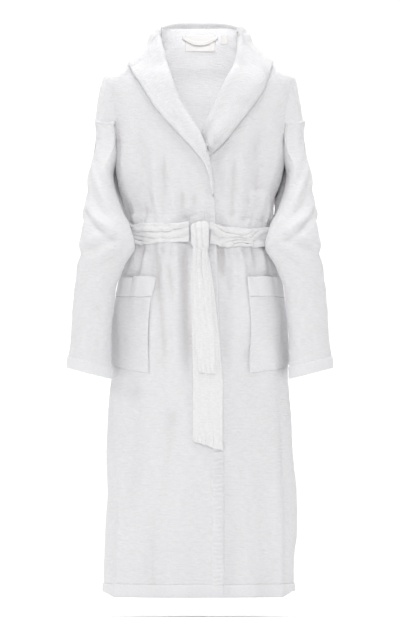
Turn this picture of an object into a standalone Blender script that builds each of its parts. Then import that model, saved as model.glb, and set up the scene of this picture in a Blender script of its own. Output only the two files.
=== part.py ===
"""Terry bathrobe with a shawl collar, patch pockets and a tied belt.

The body is one lofted surface: each height has a rounded section with its own half-width and half-depth, and
every cloth piece is a closed slab between two offsets of that surface. The wearer's right is at -X, the front
faces -Y, +Z is up and the hem lies at z = 0. The wearer's right front is the one on top.
"""

import math

import bmesh
import bpy
import numpy as np

# Cloth
CLOTH = 0.005  # one layer of terry
COLLAR_CLOTH = 0.009  # the collar is two layers
GAP = 0.0004  # clearance between pieces that are sewn together
SEAM_ANGLE = 0.003  # half the gap at a side or shoulder seam, in radians

# Body: height, half-width and half-depth
SQUARENESS = 2.4
BODY_PROFILE = (
    (0.000, 0.2105, 0.166),
    (0.250, 0.2070, 0.158),
    (0.478, 0.1970, 0.144),
    (0.600, 0.1900, 0.134),
    (0.700, 0.1780, 0.122),
    (0.796, 0.1550, 0.112),
    (0.850, 0.1580, 0.114),
    (0.900, 0.1730, 0.118),
    (0.950, 0.1840, 0.120),
    (1.010, 0.1910, 0.117),
    (1.056, 0.1980, 0.110),
    (1.100, 0.2090, 0.099),
    (1.130, 0.2145, 0.090),
    (1.144, 0.2110, 0.084),
    (1.155, 0.1960, 0.078),
    (1.168, 0.1716, 0.071),
    (1.195, 0.1300, 0.064),
    (1.221, 0.0990, 0.061),
    (1.240, 0.0885, 0.061),
    (1.270, 0.0865, 0.063),
)
HEM_DEPTH = 0.0287
NECK_SEAM = 1.243
ARM_SEAM = 1.050  # where the dropped shoulder ends and the sleeve begins
SHOULDER_END = 1.130
SHOULDER_DROP = 0.031  # how far the dropped shoulder stands out at the arm seam

# Front edges: height and distance from the middle, positive towards the wearer's left
RIGHT_EDGE = (
    (0.000, 0.0517),
    (0.320, 0.0517),
    (0.560, 0.0440),
    (0.742, 0.0374),
    (0.884, 0.0310),
    (0.970, 0.0190),
    (1.024, 0.0000),
    (1.054, -0.0198),
    (1.091, -0.0418),
    (1.131, -0.0572),
    (1.181, -0.0726),
    (1.225, -0.0814),
    (1.270, -0.0840),
)
LEFT_EDGE = (
    (0.000, -0.080),
    (0.780, -0.090),
    (0.900, -0.060),
    (1.024, 0.0000),
    (1.067, 0.0220),
    (1.100, 0.0374),
    (1.137, 0.0550),
    (1.170, 0.0726),
    (1.203, 0.0803),
    (1.270, 0.0830),
)
LAP_BLEND = 0.05  # how fast the left front sinks under the right one
FACING_WIDTH = 0.024
FACING_TOP = 0.880

# Collar: height and distance from the middle of its outer edge, down each lapel
RIGHT_LAPEL = (
    (0.884, 0.0320),
    (0.924, 0.0240),
    (0.958, 0.0060),
    (0.988, -0.0154),
    (1.030, -0.0572),
    (1.076, -0.0968),
    (1.129, -0.1298),
    (1.170, -0.1520),
)
LEFT_LAPEL = (
    (0.969, 0.0200),
    (0.992, 0.0440),
    (1.027, 0.0748),
    (1.071, 0.1078),
    (1.118, 0.1386),
    (1.166, 0.1540),
)
COLLAR_TOP = 1.268
COLLAR_STAND = 0.0022  # clearance under the collar
COLLAR_BACK_EDGE = 1.172
COLLAR_DIP = 0.012  # the roll is lower at the sides of the neck
LAPEL_END_ANGLE = math.radians(84)
SHOULDER_SHARE = 0.82  # the part of a lapel's length that lies in front of the shoulder

# Sleeve: height, centre out from the middle, centre forward, half-width, half-depth
SLEEVE_PROFILE = (
    (1.0750, 0.1810, 0.000, 0.0440, 0.058),
    (1.0500, 0.1840, 0.000, 0.0450, 0.060),
    (1.0000, 0.1960, 0.005, 0.0390, 0.068),
    (0.9300, 0.2175, 0.018, 0.0290, 0.070),
    (0.8530, 0.2125, 0.055, 0.0415, 0.066),
    (0.8200, 0.2056, 0.083, 0.0530, 0.060),
    (0.7770, 0.2020, 0.097, 0.0605, 0.058),
    (0.7350, 0.2170, 0.098, 0.0510, 0.059),
    (0.6820, 0.2305, 0.096, 0.0435, 0.060),
    (0.6000, 0.2380, 0.093, 0.0435, 0.060),
    (0.4917, 0.2443, 0.090, 0.0475, 0.060),
)
CUFF_HEIGHT = 0.4917
CUFF_SLOPE = 0.25  # the cuff is lower on its inner side
CUFF_HEM = 0.027

# Pockets
POCKET_INNER = 0.110
POCKET_OUTER_ANGLE = math.radians(78)
POCKET_TOP = 0.704
POCKET_BAND = 0.044
POCKET_BOTTOM = 0.493
POCKET_RISE = 0.018  # the bottom edge rises towards the side
POCKET_STAND = 0.0010
POCKET_ROOM = 0.0090
POCKET_CLOTH = 0.0035

# Belt
BELT_LOW = 0.778
BELT_HIGH = 0.8225
BELT_CLOTH = 0.006
BELT_STAND = 0.0012
KNOT_HALF = (0.021, 0.019, 0.031)
KNOT_HEIGHT = 0.796
TAIL_LEAN = math.radians(5.9)
TAIL_TOP = 0.765
TAIL_CLOTH = 0.0045
UNDER_FORWARD = 0.0050  # how far each end's back face stands off the skirt
OVER_FORWARD = 0.0110
UNDER_PIVOT_X = 0.012
UNDER_PIVOT_FORWARD = 0.006
OVER_PIVOT_FORWARD = 0.0125
# Belt ends: height, middle and half-width
UNDER_TAIL = (
    (TAIL_TOP - 0.004, 0.001, 0.014),
    (0.70, 0.004, 0.024),
    (0.56, 0.012, 0.030),
    (0.45, 0.0176, 0.033),
    (0.333, 0.0176, 0.033),
)
OVER_TAIL = (
    (TAIL_TOP - 0.004, 0.0, 0.018),
    (0.735, 0.0, 0.0175),
    (0.68, 0.003, 0.020),
    (0.59, 0.009, 0.022),
    (0.493, 0.0155, 0.0185),
)
LOOP_LOW = 0.757
LOOP_HIGH = 0.843
LOOP_HALF_ANGLE = 0.035
LOOP_CLOTH = 0.0025

# Small trim inside the back neck
HANGER_HALF = 0.0395
HANGER_Y = 0.0405
HANGER_TOP = 1.2405
HANGER_SAG = 0.016
HANGER_WIDTH = 0.008
HANGER_CLOTH = 0.002
LABEL_LOW = 1.205
LABEL_TOP = 1.240
LABEL_HALF_ANGLE = 0.24
LABEL_CLOTH = 0.001
LABEL_STAND = 0.0018  # clearance between a label and the back panel
TAG_ANGLE = 0.60  # from the middle of the back, towards the wearer's left
TAG_HALF_ANGLE = 0.05
TAG_LOW = 1.2215
TAG_STAND = 0.0022

WHITE = (0.86, 0.86, 0.88)
BAND_WHITE = (0.82, 0.82, 0.84)
LABEL_WHITE = (0.88, 0.87, 0.86)


def clear_scene():
    for old in list(bpy.data.objects):
        bpy.data.objects.remove(old, do_unlink=True)


def cloth_material(name, color, roughness):
    material = bpy.data.materials.new(name)
    material.use_nodes = True
    shader = material.node_tree.nodes["Principled BSDF"]
    shader.inputs["Base Color"].default_value = (*color, 1.0)
    shader.inputs["Roughness"].default_value = roughness
    shader.inputs["Metallic"].default_value = 0.0
    material.diffuse_color = (*color, 1.0)
    return material


def curve(points, at, column=1):
    """A smooth curve through points, read at a height: cubic pieces with slopes that never overshoot."""
    table = np.array(sorted(points))
    x = table[:, 0]
    y = table[:, column]
    step = np.diff(x)
    rise = np.diff(y) / step
    slope = np.zeros(len(x))
    slope[0] = rise[0]
    slope[-1] = rise[-1]
    same_way = rise[:-1] * rise[1:] > 0
    safe = np.where(same_way, rise[:-1] + rise[1:], 1.0)
    slope[1:-1] = np.where(same_way, 2.0 * rise[:-1] * rise[1:] / safe, 0.0)
    at = np.clip(np.asarray(at, dtype=float), x[0], x[-1])
    k = np.clip(np.searchsorted(x, at, side="right") - 1, 0, len(x) - 2)
    t = (at - x[k]) / step[k]
    return (
        y[k] * (2 * t**3 - 3 * t**2 + 1)
        + slope[k] * step[k] * (t**3 - 2 * t**2 + t)
        + y[k + 1] * (3 * t**2 - 2 * t**3)
        + slope[k + 1] * step[k] * (t**3 - t**2)
    )


def smoothstep(value, low, high):
    t = np.clip((value - low) / (high - low), 0.0, 1.0)
    return t * t * (3.0 - 2.0 * t)


def shoulder_bulge(angle, height):
    """How far the dropped shoulder stands out from the body's own section."""
    side = smoothstep(np.abs(np.sin(angle)), 0.80, 0.97)
    fade = np.clip((SHOULDER_END - height) / (SHOULDER_END - ARM_SEAM), 0.0, 1.0)
    return np.where(height >= ARM_SEAM, SHOULDER_DROP * fade * side, 0.0)


def body_point(angle, height, offset=0.0, bulge_height=None):
    """A point on the body, offset outwards. Angle 0 is the front, negative towards the wearer's right."""
    angle, height, offset = np.broadcast_arrays(angle, height, offset)
    bulge_height = height if bulge_height is None else np.broadcast_to(bulge_height, height.shape)
    width = curve(BODY_PROFILE, height, 1)
    depth = curve(BODY_PROFILE, height, 2)
    probe = 0.002
    width_slope = (curve(BODY_PROFILE, height + probe, 1) - curve(BODY_PROFILE, height - probe, 1)) / (2 * probe)
    depth_slope = (curve(BODY_PROFILE, height + probe, 2) - curve(BODY_PROFILE, height - probe, 2)) / (2 * probe)
    slope = width_slope * np.sin(angle) ** 2 + depth_slope * np.cos(angle) ** 2
    facing = 1.0 / np.sqrt(1.0 + slope**2)
    out = offset * facing
    power = 2.0 / SQUARENESS
    sine = np.sign(np.sin(angle)) * np.abs(np.sin(angle)) ** power
    cosine = np.sign(np.cos(angle)) * np.abs(np.cos(angle)) ** power
    x = (width + shoulder_bulge(angle, bulge_height) + out) * sine
    y = -(depth + out) * cosine
    z = height - out * slope
    return np.stack([x, y, z], axis=-1)


def angle_at(x, height):
    """The body angle of a point on the front half that lies x from the middle."""
    share = np.clip(np.abs(x) / curve(BODY_PROFILE, height, 1), 0.0, 1.0)
    return np.sign(x) * np.arcsin(share ** (SQUARENESS / 2.0))


def mesh_object(name, vertices, faces, material):
    mesh = bpy.data.meshes.new(name)
    mesh.from_pydata([tuple(v) for v in vertices], [], faces)
    mesh.materials.append(material)
    work = bmesh.new()
    work.from_mesh(mesh)
    bmesh.ops.recalc_face_normals(work, faces=work.faces)
    work.to_mesh(mesh)
    work.free()
    mesh.shade_smooth()
    mesh.set_sharp_from_angle(angle=math.radians(50))
    made = bpy.data.objects.new(name, mesh)
    bpy.context.scene.collection.objects.link(made)
    return made


def slab(name, outer, inner, material, closed=False):
    """The closed solid between two grids of points, round in its second direction if closed."""
    rows, columns = outer.shape[:2]
    half = rows * columns
    last = columns if closed else columns - 1
    faces = []
    for i in range(rows - 1):
        for j in range(last):
            a = i * columns + j
            b = i * columns + (j + 1) % columns
            c = b + columns
            d = a + columns
            faces.append((a, b, c, d))
            faces.append((half + d, half + c, half + b, half + a))
    for i in (0, rows - 1):
        for j in range(last):
            a = i * columns + j
            b = i * columns + (j + 1) % columns
            faces.append((a, b, half + b, half + a))
    if not closed:
        for j in (0, columns - 1):
            for i in range(rows - 1):
                a = i * columns + j
                b = a + columns
                faces.append((a, b, half + b, half + a))
    vertices = np.concatenate([outer.reshape(-1, 3), inner.reshape(-1, 3)])
    return mesh_object(name, vertices, faces, material)


def capped_tube(name, rings, material):
    """The closed solid inside a stack of rings."""
    rows, columns = rings.shape[:2]
    faces = []
    for i in range(rows - 1):
        for j in range(columns):
            a = i * columns + j
            b = i * columns + (j + 1) % columns
            faces.append((a, b, b + columns, a + columns))
    faces.append(tuple(range(columns)))
    faces.append(tuple(range((rows - 1) * columns, rows * columns)))
    return mesh_object(name, rings.reshape(-1, 3), faces, material)


def cutter(made):
    made.hide_render = True
    made.display_type = "WIRE"
    return made


def cut(made, tool):
    modifier = made.modifiers.new("cut", "BOOLEAN")
    modifier.operation = "DIFFERENCE"
    modifier.solver = "EXACT"
    modifier.object = tool


def set_pivot(made, pivot):
    """Moves the object's origin to its joint's axis without moving its surface."""
    offset = np.array(pivot)
    count = len(made.data.vertices)
    points = np.empty(count * 3)
    made.data.vertices.foreach_get("co", points)
    moved = points.reshape(-1, 3) - offset
    made.data.vertices.foreach_set("co", moved.ravel())
    made.location = pivot


def panel_heights(low):
    """Row heights of a body panel: close where the shoulder turns, wide down the skirt."""
    skirt = np.linspace(low, 0.70, 8)
    waist = np.array([LOOP_LOW, BELT_LOW, KNOT_HEIGHT, BELT_HIGH, LOOP_HIGH, 0.88, 0.93, 0.97, 1.01, 1.04])
    seam = np.array([ARM_SEAM - 0.0006])
    shoulder = np.array([ARM_SEAM, 1.075, 1.10, 1.12, 1.135, 1.145, 1.155, 1.165])
    neck = np.linspace(1.175, NECK_SEAM, 7)
    return np.concatenate([skirt, waist, seam, shoulder, neck])


def panel(name, start, end, lowest, sink, thickness, material):
    """A body panel between two angles, given as functions of height, sunk by sink(angle, height)."""
    heights = panel_heights(lowest)
    share = np.linspace(0.0, 1.0, 15)
    grid_height = np.repeat(heights[:, None], len(share), axis=1)
    angle = start(grid_height) + (end(grid_height) - start(grid_height)) * share[None, :]
    depth = sink(angle, grid_height)
    outer = body_point(angle, grid_height, -depth)
    lifted = np.where(np.abs(grid_height - ARM_SEAM) < 0.001, grid_height + thickness, grid_height)
    inner = body_point(angle, lifted, -depth - thickness, grid_height)
    return slab(name, outer, inner, material)


def no_sink(angle, height):
    return np.zeros_like(height)


def left_sink(angle, height):
    """The left front lies one layer deeper wherever the right front covers it."""
    x = body_point(angle, height)[..., 0]
    edge = curve(RIGHT_EDGE, height)
    covered = 1.0 - smoothstep(x, edge + 0.004, edge + 0.004 + LAP_BLEND)
    return (CLOTH + 2 * GAP) * covered


def right_start(height):
    return np.full_like(height, -math.pi / 2 + SEAM_ANGLE)


def left_start(height):
    return np.full_like(height, math.pi / 2 - SEAM_ANGLE)


def right_end(height):
    edge = curve(RIGHT_EDGE, height) - np.where(height < FACING_TOP + 0.01, FACING_WIDTH + GAP, 0.003)
    return angle_at(edge, height)


def left_end(height):
    edge = curve(LEFT_EDGE, height) + np.where(height < FACING_TOP + 0.01, FACING_WIDTH + GAP, 0.003)
    return angle_at(edge, height)


def back_start(height):
    return np.full_like(height, math.pi / 2 + SEAM_ANGLE)


def back_end(height):
    return np.full_like(height, 1.5 * math.pi - SEAM_ANGLE)


def body_panels(material):
    low = HEM_DEPTH + GAP
    return {
        "back_panel": panel("back_panel", back_start, back_end, low, no_sink, CLOTH, material),
        "right_front": panel("right_front", right_start, right_end, low, no_sink, CLOTH, material),
        "left_front": panel("left_front", left_start, left_end, low, left_sink, CLOTH, material),
    }


def facings(material):
    """The doubled strip down each front edge."""
    heights = panel_heights(HEM_DEPTH + GAP)
    heights = heights[heights <= FACING_TOP]
    share = np.linspace(0.0, 1.0, 3)
    grid = np.repeat(heights[:, None], 3, axis=1)
    for name, edge_points, inward in (("right_front_facing", RIGHT_EDGE, -1), ("left_front_facing", LEFT_EDGE, 1)):
        edge = curve(edge_points, grid)
        angle = angle_at(edge + inward * FACING_WIDTH * share[None, :], grid)
        sunk = left_sink(angle, grid) if inward > 0 else no_sink(angle, grid)
        outer = body_point(angle, grid, -sunk)
        inner = body_point(angle, grid, -sunk - CLOTH)
        slab(name, outer, inner, material)


def hems(material):
    """The turned-up hem bands, one on each panel, flat underneath."""
    heights = np.array([0.0, HEM_DEPTH / 2, HEM_DEPTH])
    runs = (
        ("back_hem", back_start, back_end, 21),
        ("right_front_hem", right_start, lambda h: angle_at(curve(RIGHT_EDGE, h), h), 15),
        ("left_front_hem", left_start, lambda h: angle_at(curve(LEFT_EDGE, h), h), 17),
    )
    for name, start, end, count in runs:
        grid = np.repeat(heights[:, None], count, axis=1)
        share = np.linspace(0.0, 1.0, count)
        angle = start(grid) + (end(grid) - start(grid)) * share[None, :]
        sunk = left_sink(angle, grid) if name.startswith("left") else no_sink(angle, grid)
        outer = body_point(angle, grid, -sunk)
        inner = body_point(angle, grid, -sunk - CLOTH)
        outer[..., 2] = grid
        inner[..., 2] = grid
        slab(name, outer, inner, material)


def collar_grid(roll_angle, roll_height, edge_angle, edge_height, across=9):
    """Outer and inner grids of a collar piece between its roll line and its outer edge."""
    share = np.linspace(0.0, 1.0, across)[None, :]
    angle = roll_angle[:, None] + (edge_angle - roll_angle)[:, None] * share
    height = roll_height[:, None] + (edge_height - roll_height)[:, None] * share
    rounded = COLLAR_CLOTH * (0.55 + 0.45 * np.sqrt(np.clip(1.0 - (2.0 * share - 1.0) ** 2, 0.0, 1.0)))
    outer = body_point(angle, height, COLLAR_STAND + rounded)
    inner = body_point(angle, height, np.full_like(angle, COLLAR_STAND))
    return outer, inner


def lapel_line(points, low, high, steps, end):
    """Angles and heights along one border of a lapel: up its front, then round the neck to the shoulder seam."""
    climb = np.clip(steps / SHOULDER_SHARE, 0.0, 1.0)
    height = low + (high - low) * climb
    angle = angle_at(curve(points, height), height)
    turn = np.clip((steps - SHOULDER_SHARE) / (1.0 - SHOULDER_SHARE), 0.0, 1.0)
    return angle + (end - angle) * turn, height


def lapel(name, side, roll_points, edge_points, low, material):
    """One lapel, from its lower point up to the shoulder seam."""
    steps = np.linspace(0.0, 1.0, 21)
    end = side * LAPEL_END_ANGLE
    edge_angle, edge_height = lapel_line(edge_points, edge_points[0][0], edge_points[-1][0], steps, end)
    roll_angle, roll_height = lapel_line(roll_points, low, COLLAR_TOP - COLLAR_DIP, steps, end)
    outer, inner = collar_grid(roll_angle, roll_height, edge_angle, edge_height)
    return slab(name, outer, inner, material)


def collar(material):
    lapel("right_lapel", -1, RIGHT_EDGE, RIGHT_LAPEL, 0.890, material)
    left_roll = ((1.000, 0.018), (1.024, 0.006), *[row for row in LEFT_EDGE if row[0] > 1.03])
    lapel("left_lapel", 1, left_roll, LEFT_LAPEL, 1.000, material)
    angles = np.linspace(LAPEL_END_ANGLE + 0.006, 2 * math.pi - LAPEL_END_ANGLE - 0.006, 15)
    blend = smoothstep(np.abs(angles - math.pi), 0.9, math.pi - LAPEL_END_ANGLE)
    roll_height = COLLAR_TOP - COLLAR_DIP * blend
    edge_height = COLLAR_BACK_EDGE + (RIGHT_LAPEL[-1][0] - COLLAR_BACK_EDGE) * blend
    outer, inner = collar_grid(angles, roll_height, angles, edge_height)
    slab("collar_back", outer, inner, material)


def sleeve_rings(side, heights, offset, sides=20):
    """Rings of the sleeve at given heights, tilted towards the cuff, as a grid of points."""
    turn = np.linspace(0.0, 2.0 * math.pi, sides, endpoint=False)
    centre_x = curve(SLEEVE_PROFILE, heights, 1)[:, None]
    centre_y = -curve(SLEEVE_PROFILE, heights, 2)[:, None]
    half_width = curve(SLEEVE_PROFILE, heights, 3)[:, None] + offset
    half_depth = curve(SLEEVE_PROFILE, heights, 4)[:, None] + offset
    tilt = CUFF_SLOPE * smoothstep(-heights, -0.90, -0.60)[:, None]
    out = half_width * np.cos(turn)
    x = side * (centre_x + out)
    y = centre_y + half_depth * np.sin(turn)
    z = heights[:, None] + tilt * out
    return np.stack([x, y, z], axis=-1)


def sleeve(name, side, body_tool, material):
    heights = np.array([ARM_SEAM - 0.0012, 1.02, 0.98, 0.93, 0.89, 0.853, 0.82, 0.777, 0.735, 0.68, 0.60, 0.518 + GAP])
    outer = sleeve_rings(side, heights, 0.0)
    inner = sleeve_rings(side, heights, -CLOTH)
    made = slab(name, outer, inner, material, closed=True)
    cut(made, body_tool)
    pivot_x = curve(SLEEVE_PROFILE, ARM_SEAM, 1) + curve(SLEEVE_PROFILE, ARM_SEAM, 3)
    set_pivot(made, (side * float(pivot_x), 0.0, ARM_SEAM))
    hem_heights = np.array([CUFF_HEIGHT + CUFF_HEM - 0.0007, CUFF_HEIGHT + CUFF_HEM / 2, CUFF_HEIGHT])
    hem_outer = sleeve_rings(side, hem_heights, 0.0012)
    hem_inner = sleeve_rings(side, hem_heights, -CLOTH)
    hem = slab(name + "_hem", hem_outer, hem_inner, material, closed=True)
    set_pivot(hem, (side * float(pivot_x), 0.0, ARM_SEAM))


def armhole_tool(name, side, material):
    heights = np.array([1.072, 1.05, 1.02, 0.98, 0.94, 0.90])
    return cutter(capped_tube(name, sleeve_rings(side, heights, -CLOTH), material))


def body_tool(material):
    """The whole body as a solid, a hair larger than the panels, which trims the sleeves."""
    below = panel_heights(HEM_DEPTH)
    below = below[below < ARM_SEAM]
    angle = np.linspace(0.0, 2.0 * math.pi, 56, endpoint=False)
    grid = np.repeat(below[:, None], len(angle), axis=1)
    rings = body_point(angle[None, :], grid, 0.0009)
    return cutter(capped_tube("body_tool", rings, material))


def pockets(material, band_material):
    """Patch pockets: sewn down along the sides and the bottom, standing off a little at the mouth."""
    for side, word in ((-1, "right"), (1, "left")):
        inner_angle = angle_at(POCKET_INNER, 0.60)
        across = np.linspace(0.0, 1.0, 9)[None, :]
        angle = side * (inner_angle + (POCKET_OUTER_ANGLE - inner_angle) * across)
        room_across = np.sin(math.pi * across) ** 0.6
        bottom = POCKET_BOTTOM + POCKET_RISE * across
        band_low = POCKET_TOP - POCKET_BAND
        for node, low, high, skin in (
            (f"{word}_pocket", bottom, band_low - GAP + 0 * across, material),
            (f"{word}_pocket_band", band_low + 0 * across, POCKET_TOP + 0 * across, band_material),
        ):
            up = np.linspace(0.0, 1.0, 7 if node.endswith("pocket") else 3)[:, None]
            height = low + (high - low) * up
            climb = np.clip((height - bottom) / (POCKET_TOP - bottom), 0.0, 1.0)
            room = POCKET_ROOM * room_across * np.sin(0.5 * math.pi * climb) ** 0.7
            stand = left_stand(side, angle, height) + POCKET_STAND + room
            full_angle = angle + 0 * height
            outer = body_point(full_angle, height, stand + POCKET_CLOTH)
            inner = body_point(full_angle, height, stand)
            slab(node, outer, inner, skin)


def left_stand(side, angle, height):
    """The left front sinks near the middle, and its pocket sinks with it."""
    if side < 0:
        return np.zeros_like(height + angle)
    return -left_sink(angle + 0 * height, height + 0 * angle)


def belt_band(material):
    """The belt round the waist, open at the knot."""
    reach = 0.20
    angle = np.linspace(reach, 2.0 * math.pi - reach, 49)
    heights = np.array([BELT_LOW, KNOT_HEIGHT, BELT_HIGH])
    grid = np.repeat(heights[:, None], len(angle), axis=1)
    outer = body_point(angle[None, :], grid, BELT_STAND + BELT_CLOTH)
    inner = body_point(angle[None, :], grid, BELT_STAND)
    return slab("belt_waistband", outer, inner, material)


def knot_centre():
    depth = float(curve(BODY_PROFILE, KNOT_HEIGHT, 2))
    return (0.0, -(depth + 0.0018 + KNOT_HALF[1]), KNOT_HEIGHT)


def belt_knot(material):
    """A rounded block, blunt at its sides where the band goes in."""
    centre = knot_centre()
    around = np.linspace(0.0, 2.0 * math.pi, 16, endpoint=False)[None, :]
    rise = np.linspace(-0.96, 0.96, 9)[:, None]
    waist = (1.0 - np.abs(rise) ** 3) ** (1.0 / 3.0)
    power = 2.0 / 3.0
    cosine = np.sign(np.cos(around)) * np.abs(np.cos(around)) ** power
    sine = np.sign(np.sin(around)) * np.abs(np.sin(around)) ** power
    x = centre[0] + KNOT_HALF[0] * waist * cosine
    y = centre[1] + KNOT_HALF[1] * waist * sine
    z = centre[2] + KNOT_HALF[2] * rise + 0 * around
    return capped_tube("belt_knot", np.stack([x, y, z], axis=-1), material)


def tail_plane(height, forward):
    """Distance in front of the middle of a tail at a height, on a plane that leans out with the skirt."""
    start = float(curve(BODY_PROFILE, TAIL_TOP, 2)) + forward
    return -(start + (TAIL_TOP - height) * math.tan(TAIL_LEAN))


def tail(name, outline, forward, cloth, pivot, material):
    """A belt end: outline gives height, middle and half-width of the strip."""
    heights = np.array([row[0] for row in outline])
    middle = np.array([row[1] for row in outline])
    half = np.array([row[2] for row in outline])
    share = np.linspace(-1.0, 1.0, 5)[None, :]
    x = middle[:, None] + half[:, None] * share
    z = heights[:, None] + 0 * share
    back = np.stack([x, tail_plane(z, forward), z], axis=-1)
    front = np.stack([x, tail_plane(z, forward + cloth), z], axis=-1)
    made = slab(name, front, back, material)
    set_pivot(made, pivot)
    return made


def belt_tails(material):
    under_pivot = (UNDER_PIVOT_X, tail_plane(TAIL_TOP, UNDER_PIVOT_FORWARD), TAIL_TOP)
    over_pivot = (0.0, tail_plane(TAIL_TOP, OVER_PIVOT_FORWARD), TAIL_TOP)
    tail("belt_tail_under", UNDER_TAIL, UNDER_FORWARD, TAIL_CLOTH, under_pivot, material)
    tail("belt_tail_over", OVER_TAIL, OVER_FORWARD, TAIL_CLOTH, over_pivot, material)


def belt_loops(material):
    """A thread-through strip on each side seam, standing clear of the belt."""
    heights = np.array([LOOP_LOW, 0.765, 0.773, 0.785, 0.815, 0.8275, 0.835, LOOP_HIGH])
    stand = np.array([GAP, GAP, 0.0085, 0.0085, 0.0085, 0.0085, GAP, GAP])
    for side, word in ((-1, "right"), (1, "left")):
        angle = side * math.pi / 2 + np.linspace(-LOOP_HALF_ANGLE, LOOP_HALF_ANGLE, 3)
        grid = np.repeat(heights[:, None], 3, axis=1)
        rise = np.repeat(stand[:, None], 3, axis=1)
        outer = body_point(angle[None, :], grid, rise + LOOP_CLOTH)
        inner = body_point(angle[None, :], grid, rise)
        slab(f"{word}_belt_loop", outer, inner, material)


def hanger_loop(material):
    """A tape that hangs in a shallow arc between its two sewn ends."""
    along = np.linspace(-1.0, 1.0, 17)
    sag = HANGER_SAG * (1.0 - along**2)
    x = HANGER_HALF * along
    across = np.array([0.0, 1.0])
    z = HANGER_TOP - sag[:, None] - HANGER_WIDTH * across[None, :]
    grid_x = x[:, None] + 0 * across[None, :]
    front = np.stack([grid_x, np.full_like(grid_x, HANGER_Y - HANGER_CLOTH), z], axis=-1)
    back = np.stack([grid_x, np.full_like(grid_x, HANGER_Y), z], axis=-1)
    made = slab("hanger_loop", front, back, material)
    set_pivot(made, (0.0, HANGER_Y - HANGER_CLOTH / 2, HANGER_TOP))
    return made


def small_label(name, middle_angle, half_angle, low, stand, material):
    """A flat woven label on the inside of the back neck."""
    angle = math.pi + middle_angle + np.linspace(-half_angle, half_angle, 7)[None, :]
    height = np.linspace(LABEL_TOP, low, 4)[:, None]
    near = body_point(angle + 0 * height, height + 0 * angle, -CLOTH - stand - LABEL_CLOTH)
    far = body_point(angle + 0 * height, height + 0 * angle, -CLOTH - stand)
    return slab(name, near, far, material)


def labels(material):
    small_label("neck_label", 0.0, LABEL_HALF_ANGLE, LABEL_LOW, LABEL_STAND, material)
    tag = small_label("size_tag", -TAG_ANGLE, TAG_HALF_ANGLE, TAG_LOW, TAG_STAND, material)
    hinge = body_point(math.pi - TAG_ANGLE, LABEL_TOP, -CLOTH - TAG_STAND - LABEL_CLOTH / 2)
    set_pivot(tag, (float(hinge[0]), float(hinge[1]), float(hinge[2])))


def build():
    clear_scene()
    terry = cloth_material("terry", WHITE, 0.95)
    band = cloth_material("terry_band", BAND_WHITE, 0.85)
    tape = cloth_material("tape", LABEL_WHITE, 0.6)
    belt_cloth = cloth_material("belt_terry", WHITE, 0.95)
    tool_material = cloth_material("tool", (0.5, 0.5, 0.5), 0.5)
    panels = body_panels(terry)
    facings(terry)
    hems(terry)
    trim = body_tool(tool_material)
    for side, word in ((-1, "right"), (1, "left")):
        sleeve(f"{word}_sleeve", side, trim, terry)
        armhole = armhole_tool(f"{word}_armhole_tool", side, tool_material)
        cut(panels["back_panel"], armhole)
        cut(panels[f"{word}_front"], armhole)
    collar(terry)
    pockets(terry, band)
    belt_band(belt_cloth)
    belt_knot(belt_cloth)
    belt_tails(belt_cloth)
    belt_loops(terry)
    hanger_loop(tape)
    labels(tape)


build()
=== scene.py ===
"""Terry bathrobe: fine cloth surfaces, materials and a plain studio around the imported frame.

The frame's axes hold throughout: the wearer's right is at -X, the front faces -Y and the hem lies at z = 0.
Most cloth is a sheet over one body surface, which is a function of an angle round the body and a height.
"""

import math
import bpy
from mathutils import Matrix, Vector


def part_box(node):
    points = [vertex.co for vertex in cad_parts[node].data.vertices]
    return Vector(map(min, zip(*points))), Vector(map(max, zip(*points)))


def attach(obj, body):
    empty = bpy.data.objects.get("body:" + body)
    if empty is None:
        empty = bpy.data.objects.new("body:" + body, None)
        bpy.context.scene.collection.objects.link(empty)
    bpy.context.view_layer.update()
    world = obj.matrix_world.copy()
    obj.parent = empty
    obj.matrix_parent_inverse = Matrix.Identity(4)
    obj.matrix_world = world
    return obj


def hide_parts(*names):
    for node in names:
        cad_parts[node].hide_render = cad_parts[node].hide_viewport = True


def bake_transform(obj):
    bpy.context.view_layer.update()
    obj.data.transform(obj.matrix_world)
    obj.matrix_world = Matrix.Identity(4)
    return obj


bl_info = {
    "name": "Terry Bathrobe",
    "version": (1, 0, 0),
    "blender": (4, 5, 0),
    "location": "View3D > Sidebar > Robe",
    "description": "Builds the cloth, trim and studio of a terry bathrobe",
    "category": "Add Mesh",
}

import bpy
import numpy as np
from bpy.props import FloatProperty, FloatVectorProperty, PointerProperty
from mathutils import Vector

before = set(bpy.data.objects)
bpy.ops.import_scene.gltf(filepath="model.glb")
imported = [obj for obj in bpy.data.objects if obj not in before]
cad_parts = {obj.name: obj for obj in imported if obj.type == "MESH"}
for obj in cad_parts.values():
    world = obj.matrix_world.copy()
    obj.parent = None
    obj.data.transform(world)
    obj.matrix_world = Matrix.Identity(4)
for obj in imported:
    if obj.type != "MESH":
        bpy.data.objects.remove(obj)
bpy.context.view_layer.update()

HIGH_NECK = float(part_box("back_panel")[1][2])

# Body surface: height, half-width and half-depth of each rounded section
SQUARENESS = 2.4
BODY = (
    (0.000, 0.2105, 0.166),
    (0.250, 0.2070, 0.158),
    (0.478, 0.1975, 0.144),
    (0.600, 0.1945, 0.134),
    (0.700, 0.1780, 0.122),
    (0.796, 0.1550, 0.112),
    (0.850, 0.1580, 0.114),
    (0.900, 0.1730, 0.118),
    (0.950, 0.1840, 0.120),
    (1.010, 0.1910, 0.117),
    (1.056, 0.1980, 0.110),
    (1.100, 0.2090, 0.099),
    (1.130, 0.2145, 0.090),
    (1.144, 0.2110, 0.084),
    (1.155, 0.1960, 0.078),
    (1.168, 0.1716, 0.071),
    (1.195, 0.1300, 0.064),
    (1.221, 0.0990, 0.061),
    (1.240, 0.0885, 0.061),
    (1.270, 0.0865, 0.063),
)
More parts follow.
